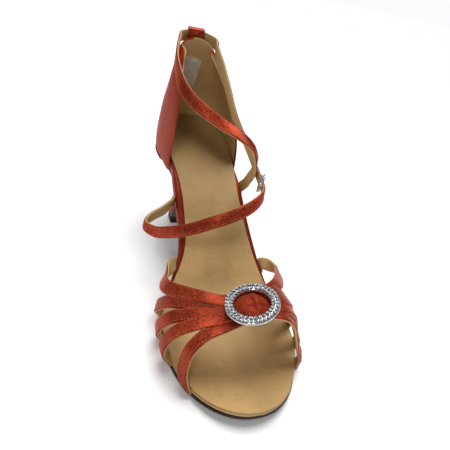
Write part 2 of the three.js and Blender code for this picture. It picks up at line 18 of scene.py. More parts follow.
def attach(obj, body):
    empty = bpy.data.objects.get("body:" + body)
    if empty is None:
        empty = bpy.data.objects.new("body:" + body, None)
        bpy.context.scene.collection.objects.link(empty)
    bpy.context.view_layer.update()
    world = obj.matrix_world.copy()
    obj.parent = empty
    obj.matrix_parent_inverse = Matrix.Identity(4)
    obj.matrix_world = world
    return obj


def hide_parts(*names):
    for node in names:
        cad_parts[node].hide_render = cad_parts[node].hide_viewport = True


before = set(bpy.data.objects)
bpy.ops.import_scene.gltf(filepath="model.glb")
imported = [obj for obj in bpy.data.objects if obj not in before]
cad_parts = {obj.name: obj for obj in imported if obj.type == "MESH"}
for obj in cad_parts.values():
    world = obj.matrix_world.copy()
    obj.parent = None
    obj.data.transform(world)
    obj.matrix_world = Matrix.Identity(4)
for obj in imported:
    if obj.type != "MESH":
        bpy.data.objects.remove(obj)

MM = 0.001
LOG = logging.getLogger("ballroom_sandal")


# Finishes


class Slot(Enum):
    """Material slots of the record."""

    UPPER = "upper_satin"
    WRAP = "satin_wrap"
    INSOLE = "insole_leather"
    TREAD = "outsole_suede"
    LIFT = "lift_rubber"
    METAL = "polished_metal"


class Effects:
    """Patterns that several finishes share, each a shader node group with named sockets, built once."""

    noise_sockets = {"Stretch": (1.0, 1.0, 1.0), "Turn": (0.0, 0.0, 0.0), "Scale": 100.0, "Detail": 3.0}

    def __init__(self) -> None:
        """Build every group."""
        self.speckle = self.make_speckle()
        self.creases = self.make_creases()
        self.pebble = self.make_pebble()

    @staticmethod
    def start(
        name: str, **sockets: float | tuple
    ) -> tuple[bpy.types.NodeTree, bpy.types.Node, bpy.types.Node]:
        """Begin a group that takes a place and values, and gives a mask and a height.

        Args:
            name: name of the group.
            **sockets: input sockets with their first values.

        Returns:
            The group, its input node and its output node.
        """
        tree = bpy.data.node_groups.new(name, "ShaderNodeTree")
        for key, value in {"Place": (0.0, 0.0, 0.0), **sockets}.items():
            kind = "NodeSocketVector" if isinstance(value, tuple) else "NodeSocketFloat"
            socket = tree.interface.new_socket(name=key, in_out="INPUT", socket_type=kind)
            socket.default_value = value
        for key in ("Mask", "Height"):
            tree.interface.new_socket(name=key, in_out="OUTPUT", socket_type="NodeSocketFloat")
        return tree, tree.nodes.new("NodeGroupInput"), tree.nodes.new("NodeGroupOutput")

    @staticmethod
    def stretched_noise(tree: bpy.types.NodeTree, entry: bpy.types.Node) -> bpy.types.NodeSocket:
        """Smooth noise over a stretched and turned place."""
        mapping = tree.nodes.new("ShaderNodeMapping")
        noise = tree.nodes.new("ShaderNodeTexNoise")
        for source, target in (("Place", "Vector"), ("Stretch", "Scale"), ("Turn", "Rotation")):
            tree.links.new(entry.outputs[source], mapping.inputs[target])
        tree.links.new(mapping.outputs["Vector"], noise.inputs["Vector"])
        for key in ("Scale", "Detail"):
            tree.links.new(entry.outputs[key], noise.inputs[key])
        return noise.outputs["Fac"]

    def make_speckle(self) -> bpy.types.NodeTree:
        """Noise whose mask runs from 0 to 1 between a low and a high value: weave, fibres, wear, smears."""
        tree, entry, leave = self.start("speckle", **self.noise_sockets, Low=0.3, High=0.7)
        height = self.stretched_noise(tree, entry)
        mask = tree.nodes.new("ShaderNodeMapRange")
        tree.links.new(height, mask.inputs["Value"])
        tree.links.new(entry.outputs["Low"], mask.inputs["From Min"])
        tree.links.new(entry.outputs["High"], mask.inputs["From Max"])
        tree.links.new(mask.outputs["Result"], leave.inputs["Mask"])
        tree.links.new(height, leave.inputs["Height"])
        return tree

    def make_creases(self) -> bpy.types.NodeTree:
        """Thin winding lines where the noise passes its middle, with a mask of 1 on the line."""
        tree, entry, leave = self.start("creases", **self.noise_sockets, Width=0.03)
        field = self.stretched_noise(tree, entry)
        away = tree.nodes.new("ShaderNodeMath")
        away.operation = "SUBTRACT"
        away.inputs[1].default_value = 0.5
        size = tree.nodes.new("ShaderNodeMath")
        size.operation = "ABSOLUTE"
        mask = tree.nodes.new("ShaderNodeMapRange")
        mask.inputs["To Min"].default_value = 1.0
        mask.inputs["To Max"].default_value = 0.0
        tree.links.new(field, away.inputs[0])
        tree.links.new(away.outputs[0], size.inputs[0])
        tree.links.new(size.outputs[0], mask.inputs["Value"])
        tree.links.new(entry.outputs["Width"], mask.inputs["From Max"])
        tree.links.new(mask.outputs["Result"], leave.inputs["Mask"])
        tree.links.new(size.outputs[0], leave.inputs["Height"])
        return tree

    def make_pebble(self) -> bpy.types.NodeTree:
        """Fine rounded grain of leather, higher in the middle of each grain."""
        tree, entry, leave = self.start("pebble", Scale=1900.0)
        cells = tree.nodes.new("ShaderNodeTexVoronoi")
        tree.links.new(entry.outputs["Place"], cells.inputs["Vector"])
        tree.links.new(entry.outputs["Scale"], cells.inputs["Scale"])
        tree.links.new(cells.outputs["Distance"], leave.inputs["Mask"])
        turned = tree.nodes.new("ShaderNodeMath")
        turned.operation = "SUBTRACT"
        turned.inputs[0].default_value = 1.0
        tree.links.new(cells.outputs["Distance"], turned.inputs[1])
        tree.links.new(turned.outputs[0], leave.inputs["Height"])
        return tree


class Finisher:
    """Bench for node materials: holds a material, its shader and short ways to add nodes."""

    def __init__(self, name: str) -> None:
        """Make an empty principled material.

        Args:
            name: name of the material.
        """
        self.material = bpy.data.materials.new(name)
        self.material.use_nodes = True
        self.tree = self.material.node_tree
        self.shader = self.tree.nodes["Principled BSDF"]
        self.where = self.tree.nodes.new("ShaderNodeTexCoord").outputs["Object"]

    def put(self, **values: float | tuple) -> None:
        """Set sockets of the shader, with words joined by one underscore."""
        for key, value in values.items():
            self.shader.inputs[key.replace("_", " ")].default_value = value

    def effect(self, group: bpy.types.NodeTree, **values: float | tuple) -> bpy.types.bpy_prop_collection:
        """Place a shared pattern with its own values and give its outputs."""
        node = self.tree.nodes.new("ShaderNodeGroup")
        node.node_tree = group
        self.tree.links.new(self.where, node.inputs["Place"])
        for key, value in values.items():
            node.inputs[key].default_value = value
        return node.outputs

    def node(self, kind: str, links: dict | None = None, **values: object) -> bpy.types.Node:
        """Add a node.

        Args:
            kind: type of the node, without the word ShaderNode.
            links: sockets to link, by input name or number.
            **values: properties of the node, or input values where no property has that name.

        Returns:
            The new node.
        """
        node = self.tree.nodes.new("ShaderNode" + kind)
        for key, value in values.items():
            if hasattr(node, key):
                setattr(node, key, value)
            else:
                node.inputs[key.replace("_", " ")].default_value = value
        for key, source in (links or {}).items():
            self.tree.links.new(source, node.inputs[key])
        return node

    def weaker(self, mask: bpy.types.NodeSocket, share: float) -> bpy.types.NodeSocket:
        """A mask times a share."""
        node = self.node("Math", {0: mask}, operation="MULTIPLY")
        node.inputs[1].default_value = share
        return node.outputs[0]

    def mix(self, factor: bpy.types.NodeSocket | float, low: object, high: object) -> bpy.types.NodeSocket:
        """Colour between two colours, each given as a socket or as a triple."""
        node = self.tree.nodes.new("ShaderNodeMix")
        node.data_type = "RGBA"
        for key, value in ((0, factor), (6, low), (7, high)):
            if isinstance(value, bpy.types.NodeSocket):
                self.tree.links.new(value, node.inputs[key])
            elif isinstance(value, tuple):
                node.inputs[key].default_value = (*value, 1.0)
            else:
                node.inputs[key].default_value = value
        return node.outputs[2]

    def colour(self, source: bpy.types.NodeSocket) -> None:
        """Link the base colour."""
        self.tree.links.new(source, self.shader.inputs["Base Color"])

    def roughness(self, factor: bpy.types.NodeSocket, low: float, high: float) -> None:
        """Let a factor move the roughness between two values."""
        node = self.node("MapRange", {"Value": factor})
        node.inputs["To Min"].default_value = low
        node.inputs["To Max"].default_value = high
        self.tree.links.new(node.outputs["Result"], self.shader.inputs["Roughness"])

    def bump(self, *layers: tuple[bpy.types.NodeSocket, float, float]) -> None:
        """Stack bumps.

        Args:
            *layers: height, strength and distance in millimetres of each bump, from coarse to fine.
        """
        normal = None
        for height, strength, distance in layers:
            links = {"Height": height}
            if normal is not None:
                links["Normal"] = normal
            node = self.node("Bump", links, Strength=strength, Distance=distance * MM)
            normal = node.outputs["Normal"]
        self.tree.links.new(normal, self.shader.inputs["Normal"])


@dataclass(frozen=True)
class Satin:
    """Glossy woven cloth with a coloured sheen."""

    name: str = "copper_satin"
    shade: tuple[float, float, float] = (0.22, 0.026, 0.011)
    light: tuple[float, float, float] = (0.47, 0.068, 0.028)
    metallic: float = 0.42
    sheen: float = 0.0
    rough: tuple[float, float] = (0.26, 0.4)
    deep: float = 0.55
    weave: float = 720.0
    relief: float = 0.2
    gloss: float = 0.22

    def build(self, effects: Effects) -> bpy.types.Material:
        """Make the material."""
        finish = Finisher(self.name)
        finish.put(Metallic=self.metallic, Sheen_Weight=self.sheen, Sheen_Roughness=0.35)
        finish.put(Sheen_Tint=(1.0, 0.4, 0.28, 1.0), Specular_Tint=(1.0, 0.36, 0.24, 1.0))
        finish.put(Specular_IOR_Level=self.gloss)
        slow = finish.effect(effects.speckle, Scale=60.0)
        thread = {"Stretch": (1.0, 2.4, 1.0), "Turn": (0.0, 0.0, 0.6), "Detail": 2.0}
        weave = finish.effect(effects.speckle, Scale=self.weave, Low=0.36, High=0.62, **thread)
        deep = tuple(self.deep * part for part in self.shade)
        low = finish.mix(slow["Mask"], deep, self.shade)
        high = finish.mix(slow["Mask"], self.shade, self.light)
        finish.colour(finish.mix(weave["Mask"], low, high))
        finish.roughness(weave["Mask"], *self.rough)
        finish.bump((slow["Height"], 0.25, 0.35), (weave["Height"], self.relief, 0.12))
        return finish.material


@dataclass(frozen=True)
class Hide:
    """Tan leather of the insole and the linings, with fine grain, creases and faint wear.

    The heel shade values paint shade: they darken it towards the heel, between two places along the shoe in
    metres.
    """

    name: str = "tan_leather"
    light: tuple[float, float, float] = (0.52, 0.33, 0.134)
    dark: tuple[float, float, float] = (0.33, 0.205, 0.078)
    rough: tuple[float, float] = (0.5, 0.68)
    wear: float = 0.6
    crease: float = 0.3
    # Painted shade in the heel cup: its colour, its share, and where along the shoe it starts and where it
    # is full.
    heel_shade_colour: tuple[float, float, float] = (0.25, 0.152, 0.058)
    heel_shade_share: float = 0.0
    heel_shade_from: float = 0.03
    heel_shade_to: float = 0.125

    def build(self, effects: Effects) -> bpy.types.Material:
        """Make the material."""
        finish = Finisher(self.name)
        finish.put(Specular_IOR_Level=0.3)
        wide = {"Stretch": (1.0, 0.6, 1.0), "Detail": 5.0}
        patch = finish.effect(effects.speckle, Scale=42.0, Low=0.4, High=0.66, **wide)
        winding = {"Stretch": (1.0, 2.2, 1.0), "Turn": (0.0, 0.0, 0.35), "Detail": 4.0}
        lines = finish.effect(effects.creases, Scale=75.0, Width=0.03, **winding)
        grain = finish.effect(effects.pebble, Scale=1700.0)
        base = finish.mix(finish.weaker(patch["Mask"], self.wear), self.light, self.dark)
        base = finish.mix(finish.weaker(lines["Mask"], self.crease), base, self.dark)
        # Painted shade: the colour darkens towards the heel, where the heel cup lies in shade.
        back = finish.node("SeparateXYZ", {0: finish.where}).outputs["Y"]
        wear_and_heel_shade = finish.node("MapRange", {"Value": back}, interpolation_type="SMOOTHSTEP")
        wear_and_heel_shade.inputs["From Min"].default_value = self.heel_shade_from
        wear_and_heel_shade.inputs["From Max"].default_value = self.heel_shade_to
        wear_and_heel_shade.inputs["To Max"].default_value = self.heel_shade_share
        finish.colour(finish.mix(wear_and_heel_shade.outputs["Result"], base, self.heel_shade_colour))
        finish.roughness(grain["Mask"], *self.rough)
        finish.bump((patch["Height"], 0.2, 0.5), (lines["Height"], 0.3, 0.8), (grain["Height"], 0.3, 0.08))
        return finish.material


@dataclass(frozen=True)
class Nap:
    """Brushed or moulded matt finish of the tread, the breast and the lift."""

    name: str
    shade: tuple[float, float, float]
    light: tuple[float, float, float]
    rough: tuple[float, float] = (0.85, 1.0)
    fibre: float = 1400.0

    def build(self, effects: Effects) -> bpy.types.Material:
        """Make the material."""
        finish = Finisher(self.name)
        finish.put(Specular_IOR_Level=0.25)
        fibres = finish.effect(effects.speckle, Scale=self.fibre, Detail=4.0)
        wear = finish.effect(effects.speckle, Scale=70.0)
        wear_and_heel_shade = finish.mix(wear["Mask"], self.shade, self.light)
        finish.colour(finish.mix(fibres["Mask"], self.shade, wear_and_heel_shade))
        finish.roughness(fibres["Mask"], *self.rough)
        finish.bump((wear["Height"], 0.15, 0.3), (fibres["Height"], 0.5, 0.12))
        return finish.material


@dataclass(frozen=True)
class Plating:
    """Polished silver-tone metal with faint smears."""

    name: str = "silver_plating"
    colour: tuple[float, float, float] = (0.78, 0.78, 0.80)
    rough: tuple[float, float] = (0.14, 0.3)
    dull_share: float = 0.6

    def build(self, effects: Effects) -> bpy.types.Material:
        """Make the material."""
        finish = Finisher(self.name)
        finish.put(Metallic=1.0)
        smear = finish.effect(effects.speckle, Scale=500.0)
        dull = tuple(self.dull_share * part for part in self.colour)
        finish.colour(finish.mix(smear["Mask"], dull, self.colour))
        finish.roughness(smear["Mask"], *self.rough)
        finish.bump((smear["Height"], 0.06, 0.05))
        return finish.material


@dataclass(frozen=True)
class Crystal:
    """Foil-backed cut glass with painted glints: a fine noise makes its colour bright on some stones and
    dark on others.
    """

    name: str = "cut_glass"
    dark: tuple[float, float, float] = (0.36, 0.36, 0.38)
    bright: tuple[float, float, float] = (0.97, 0.97, 0.98)

    def build(self, effects: Effects) -> bpy.types.Material:
        """Make the material."""
        finish = Finisher(self.name)
        finish.put(Metallic=0.85, Coat_Weight=0.5, Coat_Roughness=0.03)
        # Painted glints: the noise lightens some stones and darkens others.
        glint = finish.effect(effects.speckle, Scale=900.0, Detail=1.0, Low=0.38, High=0.48)
        finish.colour(finish.mix(glint["Mask"], self.dark, self.bright))
        finish.roughness(glint["Mask"], 0.04, 0.12)
        return finish.material


@dataclass(frozen=True)
class Film:
    """Pale clouded plastic film of a blank size sticker."""

    name: str = "clear_film"
    dull: tuple[float, float, float] = (0.64, 0.59, 0.50)
    pale: tuple[float, float, float] = (0.86, 0.82, 0.74)
    cover: float = 0.72

    def build(self, effects: Effects) -> bpy.types.Material:
        """Make the material."""
        finish = Finisher(self.name)
        finish.put(Alpha=self.cover, Coat_Weight=0.4)
        cloud = finish.effect(effects.speckle, Scale=300.0, Detail=2.0)
        finish.colour(finish.mix(cloud["Mask"], self.dull, self.pale))
        finish.roughness(cloud["Mask"], 0.3, 0.45)
        return finish.material


@dataclass(frozen=True)
class Card:
    """Pale matt card of the studio floor."""

    name: str = "pale_floor"
    shade: tuple[float, float, float] = (0.96, 0.96, 0.96)
    light: tuple[float, float, float] = (0.98, 0.98, 0.98)

    def build(self, effects: Effects) -> bpy.types.Material:
        """Make the material."""
        finish = Finisher(self.name)
        finish.put(Specular_IOR_Level=0.1)
        cloud = finish.effect(effects.speckle, Scale=3.0)
        finish.colour(finish.mix(cloud["Mask"], self.shade, self.light))
        finish.roughness(cloud["Mask"], 0.8, 0.9)
        return finish.material


class Wardrobe:
    """Every finish of the shoe and its floor, made once over the shared patterns."""

    def __init__(self) -> None:
        """Make the finishes."""
        effects = Effects()
        self.satin = Satin().build(effects)
        smooth = {"metallic": 0.25, "rough": (0.32, 0.46), "deep": 0.82, "weave": 1500.0, "gloss": 0.12}
        panel = Satin("copper_satin_panel", (0.25, 0.03, 0.012), (0.41, 0.055, 0.021), **smooth)
        self.panel = panel.build(effects)
        wrap = Satin("copper_satin_wrap", (0.17, 0.02, 0.009), (0.29, 0.04, 0.018), **smooth)
        self.wrap = wrap.build(effects)
        dull = {"metallic": 0.1, "sheen": 0.2, "rough": (0.5, 0.6)}
        self.thread = Satin("copper_thread", (0.42, 0.11, 0.05), (0.66, 0.22, 0.11), **dull).build(effects)
        # The insole takes painted shade, darker towards the heel.
        self.insole = Hide(heel_shade_share=0.75).build(effects)
        lining = Hide("tan_lining", (0.50, 0.32, 0.135), (0.30, 0.19, 0.074), wear=0.4, crease=0.15)
        self.lining = lining.build(effects)
        self.suede = Nap("dark_suede", (0.030, 0.022, 0.019), (0.07, 0.055, 0.047)).build(effects)
        self.breast = Nap("grey_suede", (0.12, 0.10, 0.088), (0.20, 0.17, 0.15)).build(effects)
        hard = {"rough": (0.5, 0.7), "fibre": 700.0}
        self.lift = Nap("lift_rubber", (0.028, 0.012, 0.010), (0.05, 0.024, 0.019), **hard).build(effects)
        self.metal = Plating().build(effects)
        self.setting = Plating("stone_setting", (0.16, 0.16, 0.17), (0.25, 0.4)).build(effects)
        self.crystal = Crystal().build(effects)
        self.film = Film().build(effects)
        self.floor = Card().build(effects)


# Bench work


class Bench:
    """Common operations on one mesh object at a time."""

    merge_reach = 0.004
    quad_bend = 50.0
    quad_skew = 60.0

    @staticmethod
    def only_none() -> None:
        """Leave nothing selected, in object mode."""
        if bpy.context.object and bpy.context.object.mode != "OBJECT":
            bpy.ops.object.mode_set(mode="OBJECT")
        bpy.ops.object.select_all(action="DESELECT")

    @classmethod
    def only(cls, piece: bpy.types.Object) -> None:
        """Select one object and make it active, in object mode."""
        cls.only_none()
        piece.select_set(True)
        bpy.context.view_layer.objects.active = piece

    @classmethod
    def edit(cls, piece: bpy.types.Object) -> None:
        """Open an object in edit mode with all of it selected."""
        cls.only(piece)
        bpy.ops.object.mode_set(mode="EDIT")
        bpy.ops.mesh.select_all(action="SELECT")

    @classmethod
    def copy_node(cls, node: str, name: str) -> bpy.types.Object:
        """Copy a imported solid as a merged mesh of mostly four-sided faces.

        Args:
            node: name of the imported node.
            name: name of the new piece.

        Returns:
            The copy, at the origin.
        """
        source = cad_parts[node]
        mesh = source.data.copy()
        mesh.transform(source.matrix_world)
        mesh.materials.clear()
        piece = bpy.data.objects.new(name, mesh)
        bpy.context.scene.collection.objects.link(piece)
        cls.only(piece)
        bpy.ops.mesh.customdata_custom_splitnormals_clear()
        cls.edit(piece)
        bpy.ops.mesh.remove_doubles(threshold=cls.merge_reach * MM)
        bend, skew = math.radians(cls.quad_bend), math.radians(cls.quad_skew)
        bpy.ops.mesh.tris_convert_to_quads(face_threshold=bend, shape_threshold=skew)
        bpy.ops.object.mode_set(mode="OBJECT")
        return piece

    @staticmethod
    def crease(piece: bpy.types.Object, angle: float, weight: float = 1.0) -> None:
        """Hold edges sharper than an angle, in degrees, against later smoothing."""
        shape = bmesh.new()
        shape.from_mesh(piece.data)
        layer = shape.edges.layers.float.get("crease_edge") or shape.edges.layers.float.new("crease_edge")
        for edge in shape.edges:
            if len(edge.link_faces) == 2 and edge.calc_face_angle(0.0) > math.radians(angle):
                edge[layer] = weight
        shape.to_mesh(piece.data)
        shape.free()

    @classmethod
    def turn_out(cls, piece: bpy.types.Object) -> None:
        """Let every face of a closed piece face outwards."""
        cls.edit(piece)
        bpy.ops.mesh.normals_make_consistent(inside=False)
        bpy.ops.object.mode_set(mode="OBJECT")

    @classmethod
    def bevel(cls, piece: bpy.types.Object, width: float, segments: int = 3) -> None:
        """Round the sharp edges by a width in millimetres."""
        cls.modify(piece, "BEVEL", width=width * MM, segments=segments, angle_limit=math.radians(50))

    @classmethod
    def modify(cls, piece: bpy.types.Object, kind: str, **values: object) -> None:
        """Add a modifier with its settings and apply it."""
        cls.only(piece)
        bpy.ops.object.modifier_add(type=kind)
        modifier = piece.modifiers[-1]
        for key, value in values.items():
            setattr(modifier, key, value)
        bpy.ops.object.modifier_apply(modifier=modifier.name)

    @classmethod
    def smooth(cls, piece: bpy.types.Object, levels: int = 0, angle: float = 50.0) -> None:
        """Subdivide and shade smooth, with sharp edges kept past an angle in degrees."""
        if levels:
            cls.modify(piece, "SUBSURF", levels=levels, render_levels=levels)
        cls.only(piece)
        bpy.ops.object.shade_smooth_by_angle(angle=math.radians(angle))

    @staticmethod
    def from_arrays(
        name: str, points: np.ndarray, faces: list, material: bpy.types.Material
    ) -> bpy.types.Object:
        """Make a piece from points in millimetres and faces, in one material."""
        mesh = bpy.data.meshes.new(name)
        mesh.from_pydata((points * MM).tolist(), [], faces)
        mesh.materials.append(material)
        mesh.update()
        piece = bpy.data.objects.new(name, mesh)
        bpy.context.scene.collection.objects.link(piece)
        return piece

    @classmethod
    def copies(cls, pattern: bpy.types.Object, places: list[np.ndarray], name: str) -> bpy.types.Object:
        """Set copies of a small pattern object at many places, as one mesh, and drop the pattern.

        Args:
            pattern: object modelled at the origin, in millimetres.
            places: four by four matrices in millimetres.
            name: name of the new piece.

        Returns:
            The new piece.
        """
        mesh = pattern.data
        points = np.array([vertex.co[:] for vertex in mesh.vertices])
        faces = [list(face.vertices) for face in mesh.polygons]
        slots = [face.material_index for face in mesh.polygons]
        all_points = np.vstack([points @ place[:3, :3].T + place[:3, 3] for place in places])
        all_faces = [[i + k * len(points) for i in face] for k in range(len(places)) for face in faces]
        piece = cls.from_arrays(name, all_points, all_faces, mesh.materials[0])
        for material in list(mesh.materials)[1:]:
            piece.data.materials.append(material)
        piece.data.polygons.foreach_set("material_index", slots * len(places))
        bpy.data.objects.remove(pattern)
        return piece

    @classmethod
    def join(cls, pieces: list[bpy.types.Object], name: str) -> bpy.types.Object:
        """Join objects into the first of them."""
        cls.only(pieces[0])
        for piece in pieces:
            piece.select_set(True)
        bpy.ops.object.join()
        pieces[0].name = name
        return pieces[0]

    @staticmethod
    def hand_over(piece: bpy.types.Object, slot: Slot, *nodes: str) -> None:
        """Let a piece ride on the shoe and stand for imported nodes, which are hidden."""
        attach(piece, "root")
        if nodes:
            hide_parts(*nodes)
        LOG.info("%s: %d faces", piece.name, len(piece.data.polygons))


def frame_matrix(along: np.ndarray, across: np.ndarray, normal: np.ndarray, place: np.ndarray) -> np.ndarray:
    """Four by four matrix with the given axes and place."""
    matrix = np.eye(4)
    matrix[:3, 0], matrix[:3, 1], matrix[:3, 2], matrix[:3, 3] = along, across, normal, place
    return matrix


def spline(points: np.ndarray, samples: int) -> np.ndarray:
    """Centripetal curve through points, read at even steps from one point to the next.

    Args:
        points: places that the curve passes, one a row.
        samples: number of steps over the whole curve.

    Returns:
        The curve's points, one more than the steps.
    """
    whole = np.vstack([2 * points[0] - points[1], points, 2 * points[-1] - points[-2]])
    last = len(points) - 1
    curve = []
    for place in np.linspace(0, last, samples + 1):
        i = min(int(place), last - 1)
        p0, p1, p2, p3 = whole[i : i + 4]
        step = np.linalg.norm(p2 - p1) ** 0.5
        step = step if step > 1e-4 else 1.0
        before = np.linalg.norm(p1 - p0) ** 0.5
        before = before if before > 1e-4 else step
        after = np.linalg.norm(p3 - p2) ** 0.5
        after = after if after > 1e-4 else step
        leave = ((p1 - p0) / before - (p2 - p0) / (before + step) + (p2 - p1) / step) * step
        reach = ((p2 - p1) / step - (p3 - p1) / (step + after) + (p3 - p2) / after) * step
        t = place - i
        square = 3 * (p2 - p1) - 2 * leave - reach
        cube = 2 * (p1 - p2) + leave + reach
        curve.append(p1 + leave * t + square * t**2 + cube * t**3)
    return np.array(curve)


def unit(vectors: np.ndarray) -> np.ndarray:
    """Vectors scaled to length one."""
    return vectors / np.linalg.norm(vectors, axis=-1, keepdims=True)


# Sole


@dataclass
class Last:
    """Main sizes of the shoe, as its solids have them."""

    length: float = 210.0
    ball_share: float = 0.704
    ball_width: float = 76.0
    ankle_height: float = 136.0
    stack: float = 4.9
    board_depth: float = 7.8
    foot_gap: float = 0.75

    def __post_init__(self) -> None:
        """Read the insole board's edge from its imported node."""
        points = np.array([v.co[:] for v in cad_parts["insole_board"].data.vertices]) / MM
        stations = np.unique(points[:, 1].round(2))
        groups = [points[np.abs(points[:, 1] - y) < 0.02] for y in stations]
        self.ys = stations
        self.medial = np.array([group[:, 0].max() for group in groups])
        self.lateral = np.array([-group[:, 0].min() for group in groups])
        inner = [group[np.abs(group[:, 0]) < 0.3 * group[:, 0].max() + 0.01] for group in groups]
        inner = [part if len(part) else group for part, group in zip(inner, groups)]
        self.tops = np.array([part[:, 2].max() for part in inner])
        self.bottoms = np.array([group[:, 2].min() for group in groups])

    def y_of(self, along: float) -> float:
        """Place along the shoe for a share of its length ahead of the heel's back."""
        return self.length * (self.ball_share - along)

    def half(self, sign: int, y: float) -> float:
        """Half width of the insole board on one side."""
        return float(np.interp(y, self.ys, self.medial if sign > 0 else self.lateral))

    def top(self, y: float) -> float:
        """Height of the insole board's top."""
        return float(np.interp(y, self.ys, self.tops))

    def bottom(self, y: float) -> float:
        """Height of the insole board's underside."""
        return float(np.interp(y, self.ys, self.bottoms))

    def slope(self, sign: int, y: float) -> float:
        """Growth of the half width for each millimetre towards the toe."""
        return (self.half(sign, y - 2.0) - self.half(sign, y + 2.0)) / 4.0


@dataclass
class Sole:
    """Sock, wrapped board and suede tread."""

    last: Last
    wardrobe: Wardrobe
    wrap_end: float = 22.0

    def sock(self) -> None:
        """Dress the insole sock."""
        piece = Bench.copy_node("insole_sock", "insole_sock_leather")
        piece.data.materials.append(self.wardrobe.insole)
        Bench.crease(piece, 60, 0.6)
        Bench.smooth(piece, 2)
        Bench.hand_over(piece, Slot.INSOLE, "insole_sock")

    def board(self) -> None:
        """Dress the board: satin round the waist and the seat, tan leather round the forefoot."""
        piece = Bench.copy_node("insole_board", "insole_board_wrap")
        piece.data.materials.append(self.wardrobe.wrap)
        piece.data.materials.append(self.wardrobe.lining)
        Bench.crease(piece, 60, 0.4)
        Bench.modify(piece, "SUBSURF", levels=1, render_levels=1)
        for face in piece.data.polygons:
            face.material_index = int(face.center.y < self.wrap_end * MM)
        Bench.smooth(piece, 1)
        Bench.hand_over(piece, Slot.WRAP, "insole_board")

    def tread(self) -> None:
        """Dress the outsole."""
        piece = Bench.copy_node("outsole", "outsole_suede")
        piece.data.materials.append(self.wardrobe.suede)
        Bench.crease(piece, 50, 0.8)
        Bench.smooth(piece, 1)
        Bench.hand_over(piece, Slot.TREAD, "outsole")


@dataclass
class Heel:
    """Satin-covered heel with a suede breast and a rubber lift."""

    wardrobe: Wardrobe
    breast_facing: float = 0.72
    breast_top: float = 62.0
    lift_bevel: float = 0.5

    def block(self) -> None:
        """Dress the heel block."""
        piece = Bench.copy_node("heel", "heel_satin")
        piece.data.materials.append(self.wardrobe.wrap)
        piece.data.materials.append(self.wardrobe.breast)
        for face in piece.data.polygons:
            fore = -face.normal.y > self.breast_facing
            face.material_index = int(fore and face.center.z < self.breast_top * MM)
        Bench.crease(piece, 60)
        Bench.smooth(piece, 2)
        Bench.hand_over(piece, Slot.WRAP, "heel")

    def lift(self) -> None:
        """Dress the heel lift."""
        piece = Bench.copy_node("heel_lift", "heel_lift_rubber")
        piece.data.materials.append(self.wardrobe.lift)
        Bench.bevel(piece, self.lift_bevel)
        Bench.smooth(piece)
        Bench.hand_over(piece, Slot.LIFT, "heel_lift")


# Straps


